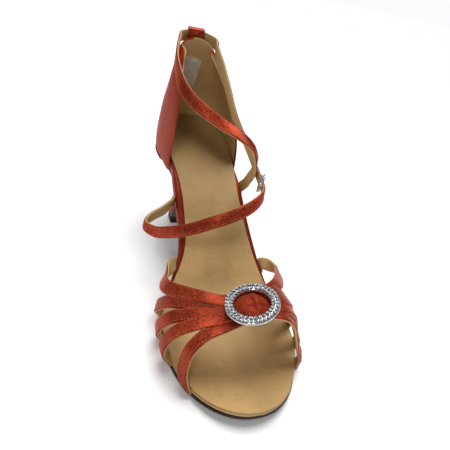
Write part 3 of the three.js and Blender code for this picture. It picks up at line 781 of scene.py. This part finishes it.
@dataclass
class Ribbon:
    """Flat strap: satin over a tan lining, bent along a route."""

    path: np.ndarray
    facing: np.ndarray
    width: float
    thickness: float
    stitch_inset: float = 1.0
    stitch_pitch: float = 1.75
    end_length: float = 4.0
    end_thin: float = 0.55

    def __post_init__(self) -> None:
        """Work out the strap's own axes at each station."""
        self.forward = unit(np.gradient(self.path, axis=0))
        turned = self.facing - (self.facing * self.forward).sum(1, keepdims=True) * self.forward
        self.normal = unit(turned)
        self.across = np.cross(self.forward, self.normal)
        steps = np.linalg.norm(np.diff(self.path, axis=0), axis=1)
        self.run = np.concatenate([[0.0], np.cumsum(steps)])
        nearest = np.minimum(self.run, self.run[-1] - self.run)
        self.body = np.interp(nearest, [0.0, self.end_length], [self.end_thin, 1.0])

    def profile(self) -> tuple[np.ndarray, int]:
        """Section of the strap, going round from the satin's edge.

        Returns:
            The points across and out, and how many of the sides are satin.
        """
        half = self.width / 2
        thick = self.thickness / 2
        rolled = ((0.0, 0.12), (0.06, 0.5), (0.35, 0.82), (0.8, 0.93), (1.4, 0.92))
        top = [(-half + inset, share * thick) for inset, share in rolled]
        top += [(-0.4 * half, 1.03 * thick), (0.0, 1.08 * thick)]
        top += [(-x, y) for x, y in reversed(top[:-1])]
        cut = ((0.1, 0.1), (0.12, -0.4), (-0.02, -0.8), (-0.4, -1.0))
        under = [(half + past, share * thick) for past, share in cut]
        under += [(0.4 * half, -thick)]
        under += [(-x, y) for x, y in reversed(under)]
        return np.array(top + under), len(top) - 1

    def build(self, name: str, wardrobe: Wardrobe) -> bpy.types.Object:
        """Bend a flat grid round the section and along the route.

        Args:
            name: name of the piece.
            wardrobe: finishes of the shoe.

        Returns:
            The strap.
        """
        profile, satin_sides = self.profile()
        columns = len(profile)
        rows = len(self.path) - 1
        Bench.only_none()
        bpy.ops.mesh.primitive_grid_add(x_subdivisions=columns, y_subdivisions=rows, size=1.0)
        piece = bpy.context.object
        piece.name = name
        mesh = piece.data
        flat = np.empty(len(mesh.vertices) * 3)
        mesh.vertices.foreach_get("co", flat)
        flat = flat.reshape(-1, 3)
        column = np.rint((flat[:, 0] + 0.5) * columns).astype(int)
        row = np.rint((flat[:, 1] + 0.5) * rows).astype(int)
        side, out = profile[column % columns].T
        out = out * self.body[row]
        places = self.path[row] + self.across[row] * side[:, None] + self.normal[row] * out[:, None]
        mesh.vertices.foreach_set("co", (places * MM).ravel())
        mesh.materials.append(wardrobe.satin)
        mesh.materials.append(wardrobe.lining)
        lined = [int(min(column[i] for i in face.vertices) >= satin_sides) for face in mesh.polygons]
        mesh.polygons.foreach_set("material_index", lined)
        mesh.update()
        Bench.edit(piece)
        bpy.ops.mesh.remove_doubles(threshold=Bench.merge_reach / 2 * MM)
        bpy.ops.mesh.fill_holes(sides=0)
        Bench.turn_out(piece)
        Bench.smooth(piece, 0, 60.0)
        return piece

    def at(self, mark: float, values: np.ndarray) -> np.ndarray:
        """Value of a row of vectors at a length along the strap."""
        return np.array([np.interp(mark, self.run, values[:, k]) for k in range(3)])

    def stitches(self, first: float = 0.0, last: float = 1.0) -> list[np.ndarray]:
        """Places of the stitches along both edges, between two shares of the strap's run."""
        places = []
        marks = np.arange(self.run[-1] * first + 1.0, self.run[-1] * last - 1.0, self.stitch_pitch)
        reach = self.width / 2 - self.stitch_inset
        for mark in marks:
            axes = (self.path, self.forward, self.across, self.normal)
            place, forward, across, normal = [self.at(mark, values) for values in axes]
            for sign in (-1, 1):
                spot = place + sign * reach * across + (self.thickness / 2 * 0.96) * normal
                places.append(frame_matrix(forward, across, normal, spot))
        return places


@dataclass
class Stitching:
    """Raised thread stitches, all copies of one bead."""

    wardrobe: Wardrobe
    length: float = 1.15
    width: float = 0.38
    height: float = 0.22

    def bead(self) -> bpy.types.Object:
        """Model one stitch: a bead drawn long, its ends pulled down into the cloth."""
        Bench.only_none()
        bpy.ops.mesh.primitive_uv_sphere_add(segments=6, ring_count=5, radius=1.0)
        bead = bpy.context.object
        for vertex in bead.data.vertices:
            x, y, z = vertex.co
            vertex.co = (z * self.length / 2, y * self.width / 2, x * self.height - 0.12 * abs(z))
        bead.data.materials.append(self.wardrobe.thread)
        return bead

    def sew(self, places: list[np.ndarray], name: str, slot: Slot) -> None:
        """Set stitches at places, as one piece."""
        piece = Bench.copies(self.bead(), places, name)
        Bench.turn_out(piece)
        Bench.smooth(piece, 0, 80.0)
        Bench.hand_over(piece, slot)


@dataclass
class AnkleStrap:
    """One long strap from waist to waist, over the instep and through the heel loop."""

    last: Last
    wardrobe: Wardrobe
    stitching: Stitching
    width: float = 7.1
    thickness: float = 1.7
    samples: int = 320
    tuck: float = 3.0
    tuck_gap: float = 0.3
    instep_end: float = 0.335
    arch_end: float = 0.385
    loop_centre: tuple[float, float, float] = (-7.0, 133.21, 133.71)
    loop_width: float = 10.5
    loop_past: float = 0.3
    loop_face: tuple[float, float, float] = (0.0, 1.0, 0.25)
    # Rows of along, across, up and facing, as shares of length, ball width and ankle height.
    instep: tuple[tuple[float, ...], ...] = (
        (0.085, -0.209, 0.982, -0.45, 0.9, 0.2),
        (0.106, -0.245, 0.98, -0.9, 0.45, 0.15),
        (0.138, -0.264, 0.969, -1, 0.2, 0.1),
        (0.172, -0.288, 0.95, -0.85, 0.5, 0.1),
        (0.215, -0.312, 0.907, -1, 0.15, 0.15),
        (0.265, -0.287, 0.839, -0.9, -0.2, 0.3),
        (0.31, -0.236, 0.798, -0.7, -0.5, 0.5),
        (0.357, -0.127, 0.761, -0.4, -0.7, 0.6),
        (0.4, 0.016, 0.728, 0, -0.75, 0.65),
        (0.435, 0.133, 0.706, 0.3, -0.7, 0.65),
        (0.465, 0.208, 0.678, 0.6, -0.65, 0.5),
        (0.487, 0.235, 0.645, 0.85, -0.5, 0.2),
        (0.487, 0.242, 0.595, 1, -0.1, 0),
        (0.47, 0.254, 0.557, 1, 0, 0),
        (0.43, 0.288, 0.505, 1, 0, 0.1),
        (0.385, 0.332, 0.452, 1, 0, 0.2),
        (0.355, 0.35, 0.413, 1, 0, 0.1),
    )
    arch: tuple[tuple[float, ...], ...] = (
        (0.083, 0.027, 0.979, 0.5, 0.85, 0.2),
        (0.103, 0.067, 0.9735, 0.9, 0.4, 0.15),
        (0.1335, 0.071, 0.965, 1, 0.15, 0.1),
        (0.165, 0.048, 0.955, 0.95, 0.3, 0.1),
        (0.222, 0.072, 0.901, 1, 0.2, 0),
        (0.285, 0.103, 0.83, 1, 0.1, 0.1),
        (0.345, 0.142, 0.745, 1, 0, 0.1),
        (0.41, 0.236, 0.642, 1, -0.1, 0.1),
        (0.455, 0.288, 0.577, 1, -0.15, 0.1),
        (0.488, 0.314, 0.539, 1, -0.15, 0.1),
        (0.512, 0.328, 0.514, 1, -0.2, 0.1),
        (0.532, 0.305, 0.497, 0.8, -0.6, 0.2),
        (0.562, 0.205, 0.475, 0.4, -0.8, 0.4),
        (0.58, 0.043, 0.443, 0.1, -0.8, 0.6),
        (0.578, -0.106, 0.406, -0.2, -0.8, 0.6),
        (0.555, -0.248, 0.348, -0.35, -0.75, 0.6),
        (0.52, -0.376, 0.297, -0.4, -0.8, 0.45),
        (0.485, -0.469, 0.263, -0.5, -0.85, 0.2),
        (0.457, -0.54, 0.272, -1, -0.1, 0),
        (0.435, -0.48, 0.29, -0.8, 0.6, 0),
        (0.414, -0.372, 0.31, -0.6, 0.8, 0),
    )

    def route_rows(self, rows: tuple[tuple[float, ...], ...]) -> tuple[list, list]:
        """Places and facings of a table's rows."""
        last = self.last
        places = [[last.ball_width * r[1], last.y_of(r[0]), last.ankle_height * r[2]] for r in rows]
        facings = [r[3:] for r in rows]
        return places, facings

    def anchor(self, sign: int, along: float) -> tuple[list, list]:
        """Rows of the strap's end: flat against the board's edge, then tucked under it."""
        y = self.last.y_of(along)
        half = self.last.half(sign, y)
        slope = self.last.slope(sign, y)
        middle = self.last.top(y) - self.last.board_depth / 2
        bottom = self.last.bottom(y)
        places = [
            [sign * (half + self.thickness / 2 + 0.2), y, middle],
            [sign * (half + 0.6), y, bottom + 0.4],
            [sign * (half - self.tuck), y, bottom - self.tuck_gap],
        ]
        return places, [[sign, slope, 0.0], [0.7 * sign, 0.7 * slope, -0.7], [0.0, 0.0, -1.0]]

    def ribbon(self) -> Ribbon:
        """The strap's route, from the medial waist to the lateral waist."""
        instep_places, instep_facings = self.route_rows(self.instep)
        arch_places, arch_facings = self.route_rows(self.arch)
        starts, start_faces = self.anchor(1, self.instep_end)
        ends, end_faces = self.anchor(-1, self.arch_end)
        reach = self.loop_width / 2 + self.loop_past
        loop = [[self.loop_centre[0] + side * reach, *self.loop_centre[1:]] for side in (-1, 0, 1)]
        places = [*starts[::-1], *instep_places[::-1], *loop, *arch_places, *ends]
        faces = [*start_faces[::-1], *instep_facings[::-1], *[self.loop_face] * 3, *arch_facings, *end_faces]
        path = spline(np.array(places), self.samples)
        facing = spline(unit(np.array(faces, float)), self.samples)
        return Ribbon(path, facing, self.width, self.thickness)

    def build(self) -> None:
        """Make the strap and its stitches."""
        ribbon = self.ribbon()
        piece = ribbon.build("ankle_strap_satin", self.wardrobe)
        Bench.hand_over(piece, Slot.UPPER, "ankle_strap")
        self.stitching.sew(ribbon.stitches(), "ankle_strap_stitches", Slot.UPPER)


@dataclass
class Vamp:
    """Five straps from each side of the forefoot, gathered under the ring."""

    last: Last
    wardrobe: Wardrobe
    stitching: Stitching
    ring_x: float = 2.0
    ring_y: float = -26.0
    ring_radius: float = 13.25
    height: float = 35.6
    width: float = 7.4
    thickness: float = 1.8
    side_bow: float = 4.5
    samples: int = 120
    tuck_samples: int = 15
    turn_samples: int = 8
    stitched: tuple[float, float] = (0.36, 0.66)
    pillow_radius: tuple[float, float] = (8.75, 8.4)
    pillow_height: float = 5.0
    pillow_lean: float = -8.0
    # Rows of reach past the board's edge and rise above its underside, from under the board outwards.
    tuck: tuple[tuple[float, float], ...] = ((-3.0, -0.1), (0.5, 0.35))
    # Rows of foot, slot at the ring, bow and sweep of each strap, on the lateral and on the medial side.
    lateral: tuple[tuple[float, ...], ...] = (
        (0.535, -0.5, 2.3, 0.46),
        (0.648, -0.36, 0.55, 1),
        (0.735, -0.13, 0.55, 1),
        (0.808, 0.12, 0.7, 0.95),
        (0.895, 0.36, 0.3, 0.85),
    )
    medial: tuple[tuple[float, ...], ...] = (
        (0.54, -0.5, 1.75, 0.7),
        (0.635, -0.32, 0, 1),
        (0.72, -0.02, 0, 1),
        (0.795, 0.26, 0.2, 1),
        (0.86, 0.52, 0.35, 1),
    )
    # Rows of lateral and medial span, lateral and medial rise, way forward and bow, from foot to crown.
    stations: tuple[tuple[float, ...], ...] = (
        (1, 1, 0, 0, 0, 0.07),
        (1, 0.955, 0.14, 0.14, 0.08, 0.85),
        (1, 0.82, 0.34, 0.36, 0.24, 1),
        (0.93, 0.71, 0.58, 0.63, 0.46, 0.7),
        (0.74, 0.57, 0.75, 0.9, 0.7, 0.35),
        (0.44, 0.35, 0.845, 1.045, 0.9, 0.1),
        (0, 0, 1, 1, 1, 0),
    )

    def side(self, row: tuple[float, ...], sign: int) -> tuple[list, list]:
        """Half of a strap's route, from under the board to the ring.

        Args:
            row: foot, slot, bow and sweep of this side.
            sign: 1 for the medial side and -1 for the lateral side.

        Returns:
            The tucked places under the board, and the places from its top edge to the ring.
        """
        last = self.last
        foot, slot, bow, sweep = row
        which = 1 if sign > 0 else 0
        y = last.y_of(foot)
        half = last.half(sign, y)
        far = half + last.foot_gap + self.thickness / 2
        crown_y = self.ring_y - slot * self.ring_radius
        foot_z, crown_z = last.top(y), last.stack + self.height
        away = unit(np.array([sign, last.slope(sign, y)]))
        tucked = [
            [sign * half + reach * away[0], y + reach * away[1], last.bottom(y) + rise]
            for reach, rise in self.tuck
        ]
        rows = [
            [
                self.ring_x + (sign * far - self.ring_x) * r[which] + sign * self.side_bow * bow * r[5],
                y + (crown_y - y) * r[4] ** sweep,
                foot_z + (crown_z - foot_z) * r[2 + which],
            ]
            for r in self.stations
        ]
        rows[0][0] = sign * (half + self.thickness / 2 + 0.1)
        return tucked, rows

    def ribbon(self, number: int) -> Ribbon:
        """Route of one strap over the foot, from its lateral to its medial foot."""
        last = self.last
        lateral_tuck, lateral_rows = self.side(self.lateral[number], -1)
        medial_tuck, medial_rows = self.side(self.medial[number], 1)
        rows = [*lateral_rows, *medial_rows[::-1][1:]]
        path = spline(np.array([*lateral_tuck, *rows, *medial_tuck[::-1]]), self.samples)
        feet = ((-1, self.lateral[number][0]), (1, self.medial[number][0]))
        turns = [last.slope(sign, last.y_of(foot)) for sign, foot in feet]
        out = path[:, 0] - self.ring_x
        level = np.clip((path[:, 2] - last.stack) / self.height, 0, 1)
        turn = np.where(out > 0, turns[1], turns[0]) * np.abs(out) * (1 - level)
        facing = unit(np.stack([out, turn, path[:, 2] - last.stack], axis=1))
        forward = unit(np.gradient(path, axis=0))
        for sign, slope in zip((-1, 1), turns):
            along_edge = unit(np.array([-sign * slope, 1.0, 0.0]))
            flat = np.cross(along_edge, forward)
            flat *= np.sign(flat @ np.array([sign, slope, -1.0]))[:, None]
            fade = [self.tuck_samples, self.tuck_samples + self.turn_samples]
            weight = np.interp(np.arange(len(path)), fade, [1.0, 0.0])[:, None]
            if sign > 0:
                weight = weight[::-1]
            facing = facing * (1 - weight) + unit(flat) * weight
        return Ribbon(path, facing, self.width, self.thickness)

    def pillow(self) -> bpy.types.Object:
        """Gathered satin that swells through the ring, with a fold across it."""
        Bench.only_none()
        bpy.ops.mesh.primitive_uv_sphere_add(segments=48, ring_count=24, radius=1.0)
        piece = bpy.context.object
        for vertex in piece.data.vertices:
            x, y, z = vertex.co
            up = max(z, 0.0)
            crease = 0.3 * math.exp(-(((y + 0.33 + 0.08 * x) / 0.08) ** 2))
            ridge = 0.16 * math.exp(-(((x - 0.24) / 0.16) ** 2))
            dip = 0.14 * math.exp(-(((x + 0.06) / 0.13) ** 2))
            ripple = 0.015 * math.sin(17.0 * x + 3.0 * y)
            height = (z + (ridge - dip + ripple - crease) * up) * self.pillow_height
            vertex.co = (x * self.pillow_radius[0], y * self.pillow_radius[1], height)
        lean = Matrix.Rotation(math.radians(self.pillow_lean), 4, "Y")
        centre = Vector((self.ring_x, self.ring_y, self.last.stack + self.height))
        piece.data.transform(Matrix.Scale(MM, 4) @ Matrix.Translation(centre) @ lean)
        piece.data.materials.append(self.wardrobe.panel)
        Bench.smooth(piece, 1)
        return piece

    def build(self) -> None:
        """Make the straps, the pillow and the stitches."""
        straps, places = [], []
        for number in range(len(self.lateral)):
            ribbon = self.ribbon(number)
            straps.append(ribbon.build(f"vamp_strap_{number}", self.wardrobe))
            places += ribbon.stitches(last=self.stitched[0])
            places += ribbon.stitches(first=self.stitched[1])
        piece = Bench.join([*straps, self.pillow()], "vamp_straps_satin")
        Bench.hand_over(piece, Slot.UPPER, "vamp")
        self.stitching.sew(places, "vamp_stitches", Slot.UPPER)


@dataclass
class Counter:
    """Closed back of the upper: satin outside, tan lining inside, stitched along its edge."""

    last: Last
    wardrobe: Wardrobe
    stitching: Stitching
    axis_y: float = 112.0
    axis_x: float = -3.0
    stitch_inset: float = 2.2
    stitch_pitch: float = 2.2
    stitch_out: float = 3.0
    middle_drop: float = 20.0
    lined_turn: float = -0.25
    edge_angle: float = 50.0
    foot_clear: float = 14.0
    longest_link: float = 15.0
    sticker: tuple[tuple[float, float, float], ...] = (
        (-17.4, 127.0, 121.0),
        (-0.5, 131.3, 118.6),
        (-19.3, 131.0, 97.5),
        (-1.0, 146.8, 92.0),
    )
    sticker_lift: float = 0.14
    sticker_thickness: float = 0.1
    sticker_round: float = 0.12
    sticker_pull: float = 0.08
    sticker_middle: tuple[float, float] = (0.0, 118.0)

    def build(self) -> None:
        """Make the counter, its stitches and the blank sticker on its lining."""
        piece = Bench.copy_node("counter", "counter_satin")
        mesh = piece.data
        mesh.materials.append(self.wardrobe.panel)
        mesh.materials.append(self.wardrobe.lining)
        edges = self.edge_lines(mesh)
        for face in mesh.polygons:
            away = face.center - Vector((self.axis_x, self.axis_y, 0.0)) * MM
            away.z = 0.0
            face.material_index = int(face.normal.dot(away.normalized()) < self.lined_turn)
        Bench.smooth(piece, 2)
        Bench.hand_over(piece, Slot.UPPER, "counter")
        places = [place for edge in edges for place in self.stitches(piece, edge)]
        self.stitching.sew(places, "counter_stitches", Slot.UPPER)
        self.size_sticker(piece)

    def size_sticker(self, wall: bpy.types.Object) -> None:
        """Lay a thin blank film on the lining, between four corners that lie near it."""
        Bench.only_none()
        bpy.ops.mesh.primitive_grid_add(x_subdivisions=24, y_subdivisions=28, size=2.0)
        piece = bpy.context.object
        piece.name = "blank_sticker"
        corners = np.array(self.sticker)
        middle = np.array(self.sticker_middle)
        for vertex in piece.data.vertices:
            x, y = vertex.co[0], vertex.co[1]
            reach = max(abs(x), abs(y), 1e-6) / max(math.hypot(x, y), 1e-6)
            round_off = 1.0 - self.sticker_round * (1.0 - reach) * max(abs(x), abs(y)) ** 6
            u, v = 0.5 + 0.5 * x * round_off, 0.5 - 0.5 * y * round_off
            top = corners[0] * (1 - u) + corners[1] * u
            low = corners[2] * (1 - u) + corners[3] * u
            aim = top * (1 - v) + low * v
            aim[:2] += self.sticker_pull * (middle - aim[:2])
            _, near, normal, _ = wall.closest_point_on_mesh(Vector(aim * MM))
            vertex.co = near + normal * self.sticker_lift * MM
        piece.data.materials.append(self.wardrobe.film)
        Bench.modify(piece, "SOLIDIFY", thickness=self.sticker_thickness * MM, offset=0.0)
        Bench.turn_out(piece)
        Bench.smooth(piece)
        Bench.hand_over(piece, Slot.INSOLE)

    def sharp_chains(self, mesh: bpy.types.Mesh) -> list[np.ndarray]:
        """Chains of places along the sharp edges, each walked both ways from its first point."""
        shape = bmesh.new()
        shape.from_mesh(mesh)
        bend = math.radians(self.edge_angle)
        sharp = [e for e in shape.edges if len(e.link_faces) == 2 and e.calc_face_angle(0.0) > bend]
        links: dict[int, list[int]] = {}
        for edge in sharp:
            a, b = edge.verts[0].index, edge.verts[1].index
            links.setdefault(a, []).append(b)
            links.setdefault(b, []).append(a)
        places = {v.index: np.array(v.co[:]) / MM for v in shape.verts}
        shape.free()
        chains = []
        left = set(links)
        while left:
            chain = [left.pop()]
            for _ in ("onward", "back"):
                while True:
                    onward = [k for k in links[chain[-1]] if k in left]
                    if not onward:
                        break
                    left.discard(onward[0])
                    chain.append(onward[0])
                chain.reverse()
            chains.append(np.array([places[k] for k in chain]))
        return chains

    def edge_lines(self, mesh: bpy.types.Mesh) -> list[np.ndarray]:
        """Runs of the counter's outer edge along its front and top, in millimetres."""
        outer = max(self.sharp_chains(mesh), key=lambda chain: np.ptp(chain[:, 0]))
        feet = np.array([self.last.top(p[1]) for p in outer])
        high = outer[:, 2] > feet + self.foot_clear - self.last.board_depth
        first_low = int(np.argmin(high))
        kept = np.roll(outer, -first_low, axis=0)[np.roll(high, -first_low)]
        spans = np.linalg.norm(np.diff(kept, axis=0), axis=1)
        breaks = np.flatnonzero(spans > self.longest_link) + 1
        return [run for run in np.split(kept, breaks) if len(run) > 3]

    def stitches(self, piece: bpy.types.Object, edge: np.ndarray) -> list[np.ndarray]:
        """Places of a row of stitches inside the outer edge, on the satin."""
        line = spline(edge, 400)
        run = np.concatenate([[0.0], np.cumsum(np.linalg.norm(np.diff(line, axis=0), axis=1))])
        forward = unit(np.gradient(line, axis=0))
        middle = line.mean(0) - np.array([0.0, 0.0, self.middle_drop])
        places = []
        for mark in np.arange(1.0, run[-1] - 1.0, self.stitch_pitch):
            spot = np.array([np.interp(mark, run, line[:, k]) for k in range(3)])
            ahead = unit(np.array([np.interp(mark, run, forward[:, k]) for k in range(3)]))
            out = unit(np.array([spot[0] - self.axis_x, spot[1] - self.axis_y, 0.0]))
            inward = np.cross(out, ahead)
            inward *= np.sign(inward @ (middle - spot))
            target = spot + self.stitch_inset * inward + self.stitch_out * out
            found, near, normal, _ = piece.closest_point_on_mesh(Vector(target * MM))
            if not found:
                continue
            normal = np.array(normal)
            ahead = unit(ahead - (ahead @ normal) * normal)
            places.append(frame_matrix(ahead, np.cross(normal, ahead), normal, np.array(near) / MM))
        return places


@dataclass
class HeelLoop:
    """Satin loop on top of the counter, which holds the ankle strap."""

    wardrobe: Wardrobe
    bevel: float = 0.45

    def build(self) -> None:
        """Dress the loop."""
        piece = Bench.copy_node("heel_loop", "heel_loop_satin")
        piece.data.materials.append(self.wardrobe.satin)
        Bench.bevel(piece, self.bevel)
        Bench.smooth(piece)
        Bench.hand_over(piece, Slot.UPPER, "heel_loop")


# Jewellery


@dataclass
class Stone:
    """Round cut stone in a small cup, modelled once and copied."""

    wardrobe: Wardrobe
    radius: float = 1.04
    depth: float = 0.5
    rim: float = 0.12
    rim_drop: float = 0.06
    crown: float = 0.3
    crown_height: float = 0.34

    def pattern(self) -> bpy.types.Object:
        """Model a stone: table and crown above, cup below, in millimetres."""
        Bench.only_none()
        bpy.ops.mesh.primitive_cylinder_add(vertices=8, radius=self.radius, depth=self.depth)
        stone = bpy.context.object
        stone.data.materials.append(self.wardrobe.crystal)
        stone.data.materials.append(self.wardrobe.setting)
        shape = bmesh.new()
        shape.from_mesh(stone.data)
        top = max(shape.faces, key=lambda face: face.calc_center_median().z)
        for face in shape.faces:
            face.material_index = 1
        rim = bmesh.ops.inset_region(shape, faces=[top], thickness=self.rim, depth=-self.rim_drop)["faces"]
        for face in (*rim, top):
            face.material_index = 1
        crown = bmesh.ops.inset_region(
            shape, faces=[top], thickness=self.crown, depth=self.crown_height
        )["faces"]
        for face in (*crown, top):
            face.material_index = 0
        shape.to_mesh(stone.data)
        shape.free()
        return stone


@dataclass
class Jewellery:
    """Ring ornament on the vamp and the strap's buckle, both set with stones."""

    wardrobe: Wardrobe
    ring_centre: tuple[float, float, float] = (2.0, -26.0, 41.7)
    ring_tilt: float = 15.0
    ring_height: float = 2.6
    ring_spread: float = 27.6 / 26.5
    # Rows of radius and number of stones.
    rows: tuple[tuple[float, int], ...] = ((9.85, 29), (12.05, 36))
    stone_lift: float = 0.1
    frame_bevel: float = 0.3
    prong_bevel: float = 0.2
    buckle_stones: int = 24
    buckle_stone: float = 0.55
    buckle_stone_inset: float = 0.7
    buckle_stone_lift: float = 0.05

    def ring(self) -> None:
        """Dress the ring and set its two rows of stones."""
        piece = Bench.copy_node("ring_ornament", "ring_setting")
        piece.data.materials.append(self.wardrobe.metal)
        Bench.smooth(piece, 1, 40.0)
        tilt = math.radians(self.ring_tilt)
        axis = np.array([-math.sin(tilt), 0.0, math.cos(tilt)])
        side = np.array([math.cos(tilt), 0.0, math.sin(tilt)])
        fore = np.cross(axis, side)
        base = np.array(self.ring_centre) + axis * (self.ring_height + self.stone_lift)
        turns = np.linspace(0.0, 2 * math.pi, 361)
        oval = np.stack([self.ring_spread * np.cos(turns), np.sin(turns)], axis=1)
        run = np.concatenate([[0.0], np.cumsum(np.linalg.norm(np.diff(oval, axis=0), axis=1))])
        places = []
        for radius, count in self.rows:
            for k in range(count):
                turn = np.interp(run[-1] * k / count, run, turns)
                out = math.cos(turn) * side + math.sin(turn) * fore
                spot = radius * (self.ring_spread * math.cos(turn) * side + math.sin(turn) * fore)
                places.append(frame_matrix(out, np.cross(axis, out), axis, base + spot))
        stones = Bench.copies(Stone(self.wardrobe).pattern(), places, "ring_stones")
        Bench.hand_over(piece, Slot.METAL, "ring_ornament")
        Bench.hand_over(stones, Slot.METAL)

    def buckle(self) -> None:
        """Dress the buckle's frame and prong, and set stones round the frame."""
        piece = Bench.copy_node("buckle_frame", "buckle_frame_silver")
        piece.data.materials.append(self.wardrobe.metal)
        places = self.frame_places(piece)
        Bench.bevel(piece, self.frame_bevel)
        Bench.smooth(piece)
        Bench.hand_over(piece, Slot.METAL, "buckle_frame")
        stones = Bench.copies(Stone(self.wardrobe, self.buckle_stone).pattern(), places, "buckle_stones")
        Bench.hand_over(stones, Slot.METAL)
        prong = Bench.copy_node("buckle_prong", "buckle_prong_silver")
        prong.data.materials.append(self.wardrobe.metal)
        Bench.bevel(prong, self.prong_bevel, 2)
        Bench.smooth(prong)
        Bench.hand_over(prong, Slot.METAL, "buckle_prong")

    def frame_places(self, piece: bpy.types.Object) -> list[np.ndarray]:
        """Places of stones round the buckle's outward face."""
        points = np.array([v.co[:] for v in piece.data.vertices]) / MM
        centre = points.mean(0)
        _, _, axes = np.linalg.svd(points - centre)
        normal = axes[2] * np.sign(axes[2][0])
        flat = [(points - centre) @ axes[k] for k in (0, 1)]
        half = [np.abs(values).max() - self.buckle_stone_inset for values in flat]
        height = ((points - centre) @ normal).max() + self.buckle_stone_lift
        places = []
        for k in range(self.buckle_stones):
            turn = 2 * math.pi * k / self.buckle_stones
            bound = max(abs(math.cos(turn)) / half[0], abs(math.sin(turn)) / half[1])
            spot = centre + (math.cos(turn) * axes[0] + math.sin(turn) * axes[1]) / bound + height * normal
            places.append(frame_matrix(axes[0], np.cross(normal, axes[0]), normal, spot))
        return places


# Studio


@dataclass
class Studio:
    """Pale floor, soft lights and the camera."""

    wardrobe: Wardrobe
    position: tuple[float, float, float] = (-77.8, -160.6, 178.4)
    aim: tuple[float, float, float] = (8.9, 47.6, 40.0)
    roll: float = 13.0
    lens: float = 33.4
    sky_strength: float = 0.25
    backdrop_strength: float = 0.97
    sun_turn: tuple[float, float, float] = (-16.0, 10.0, 0.0)
    sun_strength: float = 2.65
    sun_spread: float = 40.0
    lit_place: tuple[float, float, float] = (0.0, 0.03, 0.03)

    def floor(self) -> None:
        """Lay a pale floor."""
        Bench.only_none()
        bpy.ops.mesh.primitive_plane_add(size=12.0, location=(0.0, 0.0, -0.0002))
        floor = bpy.context.object
        floor.name = "floor"
        floor.data.materials.append(self.wardrobe.floor)

    def light(self, name: str, place: tuple[float, float, float], size: float, power: float) -> None:
        """Hang a square soft light that faces the shoe.

        Args:
            name: name of the light.
            place: where it hangs, in metres.
            size: side of the light, in metres.
            power: strength in watts.
        """
        data = bpy.data.lights.new(name, "AREA")
        data.size = size
        data.energy = power
        lamp = bpy.data.objects.new(name, data)
        lamp.location = place
        lamp.rotation_euler = (Vector(self.lit_place) - Vector(place)).to_track_quat("-Z", "Y").to_euler()
        bpy.context.scene.collection.objects.link(lamp)

    def sky(self) -> None:
        """Fill the surroundings with even pale light, white where it is seen directly."""
        world = bpy.data.worlds.new("studio")
        world.use_nodes = True
        tree = world.node_tree
        seen = tree.nodes.new("ShaderNodeLightPath").outputs["Is Camera Ray"]
        strength = tree.nodes.new("ShaderNodeMapRange")
        strength.inputs["To Min"].default_value = self.sky_strength
        strength.inputs["To Max"].default_value = self.backdrop_strength
        tree.links.new(seen, strength.inputs["Value"])
        tree.links.new(strength.outputs["Result"], tree.nodes["Background"].inputs["Strength"])
        tree.nodes["Background"].inputs["Color"].default_value = (1.0, 1.0, 1.0, 1.0)
        bpy.context.scene.world = world
        bpy.context.scene.view_settings.view_transform = "Standard"

    def sun(self) -> None:
        """Add a distant soft light, the same over the whole floor, turned from straight down."""
        data = bpy.data.lights.new("high_sun", "SUN")
        data.energy = self.sun_strength
        data.angle = math.radians(self.sun_spread)
        lamp = bpy.data.objects.new("high_sun", data)
        lamp.rotation_euler = [math.radians(part) for part in self.sun_turn]
        bpy.context.scene.collection.objects.link(lamp)

    def camera(self) -> None:
        """Set the camera where the photograph was taken, turned to face the shoe."""
        data = bpy.data.cameras.new("camera")
        data.lens = self.lens
        data.clip_start = 0.01
        camera = bpy.data.objects.new("camera", data)
        place = Vector(self.position) * MM
        look = (Vector(self.aim) * MM - place).to_track_quat("-Z", "Y").to_matrix().to_4x4()
        roll = Matrix.Rotation(math.radians(self.roll), 4, "Z")
        camera.matrix_world = Matrix.Translation(place) @ look @ roll
        bpy.context.scene.collection.objects.link(camera)
        bpy.context.scene.camera = camera

    def build(self) -> None:
        """Make the whole studio."""
        self.floor()
        self.sky()
        self.sun()
        self.light("key", place=(-0.4, -0.55, 0.85), size=0.25, power=2.5)
        self.light("back", place=(0.1, 0.75, 0.5), size=0.4, power=1.5)
        self.camera()


def main() -> None:
    """Build the shoe from the sole up, then the studio."""
    logging.basicConfig(level=logging.INFO, format="%(message)s")
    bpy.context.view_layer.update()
    wardrobe = Wardrobe()
    last = Last()
    stitching = Stitching(wardrobe)
    sole = Sole(last, wardrobe)
    sole.sock()
    sole.board()
    sole.tread()
    heel = Heel(wardrobe)
    heel.block()
    heel.lift()
    Counter(last, wardrobe, stitching).build()
    HeelLoop(wardrobe).build()
    AnkleStrap(last, wardrobe, stitching).build()
    Vamp(last, wardrobe, stitching).build()
    jewellery = Jewellery(wardrobe)
    jewellery.ring()
    jewellery.buckle()
    Studio(wardrobe).build()


if __name__ == "__main__":
    main()
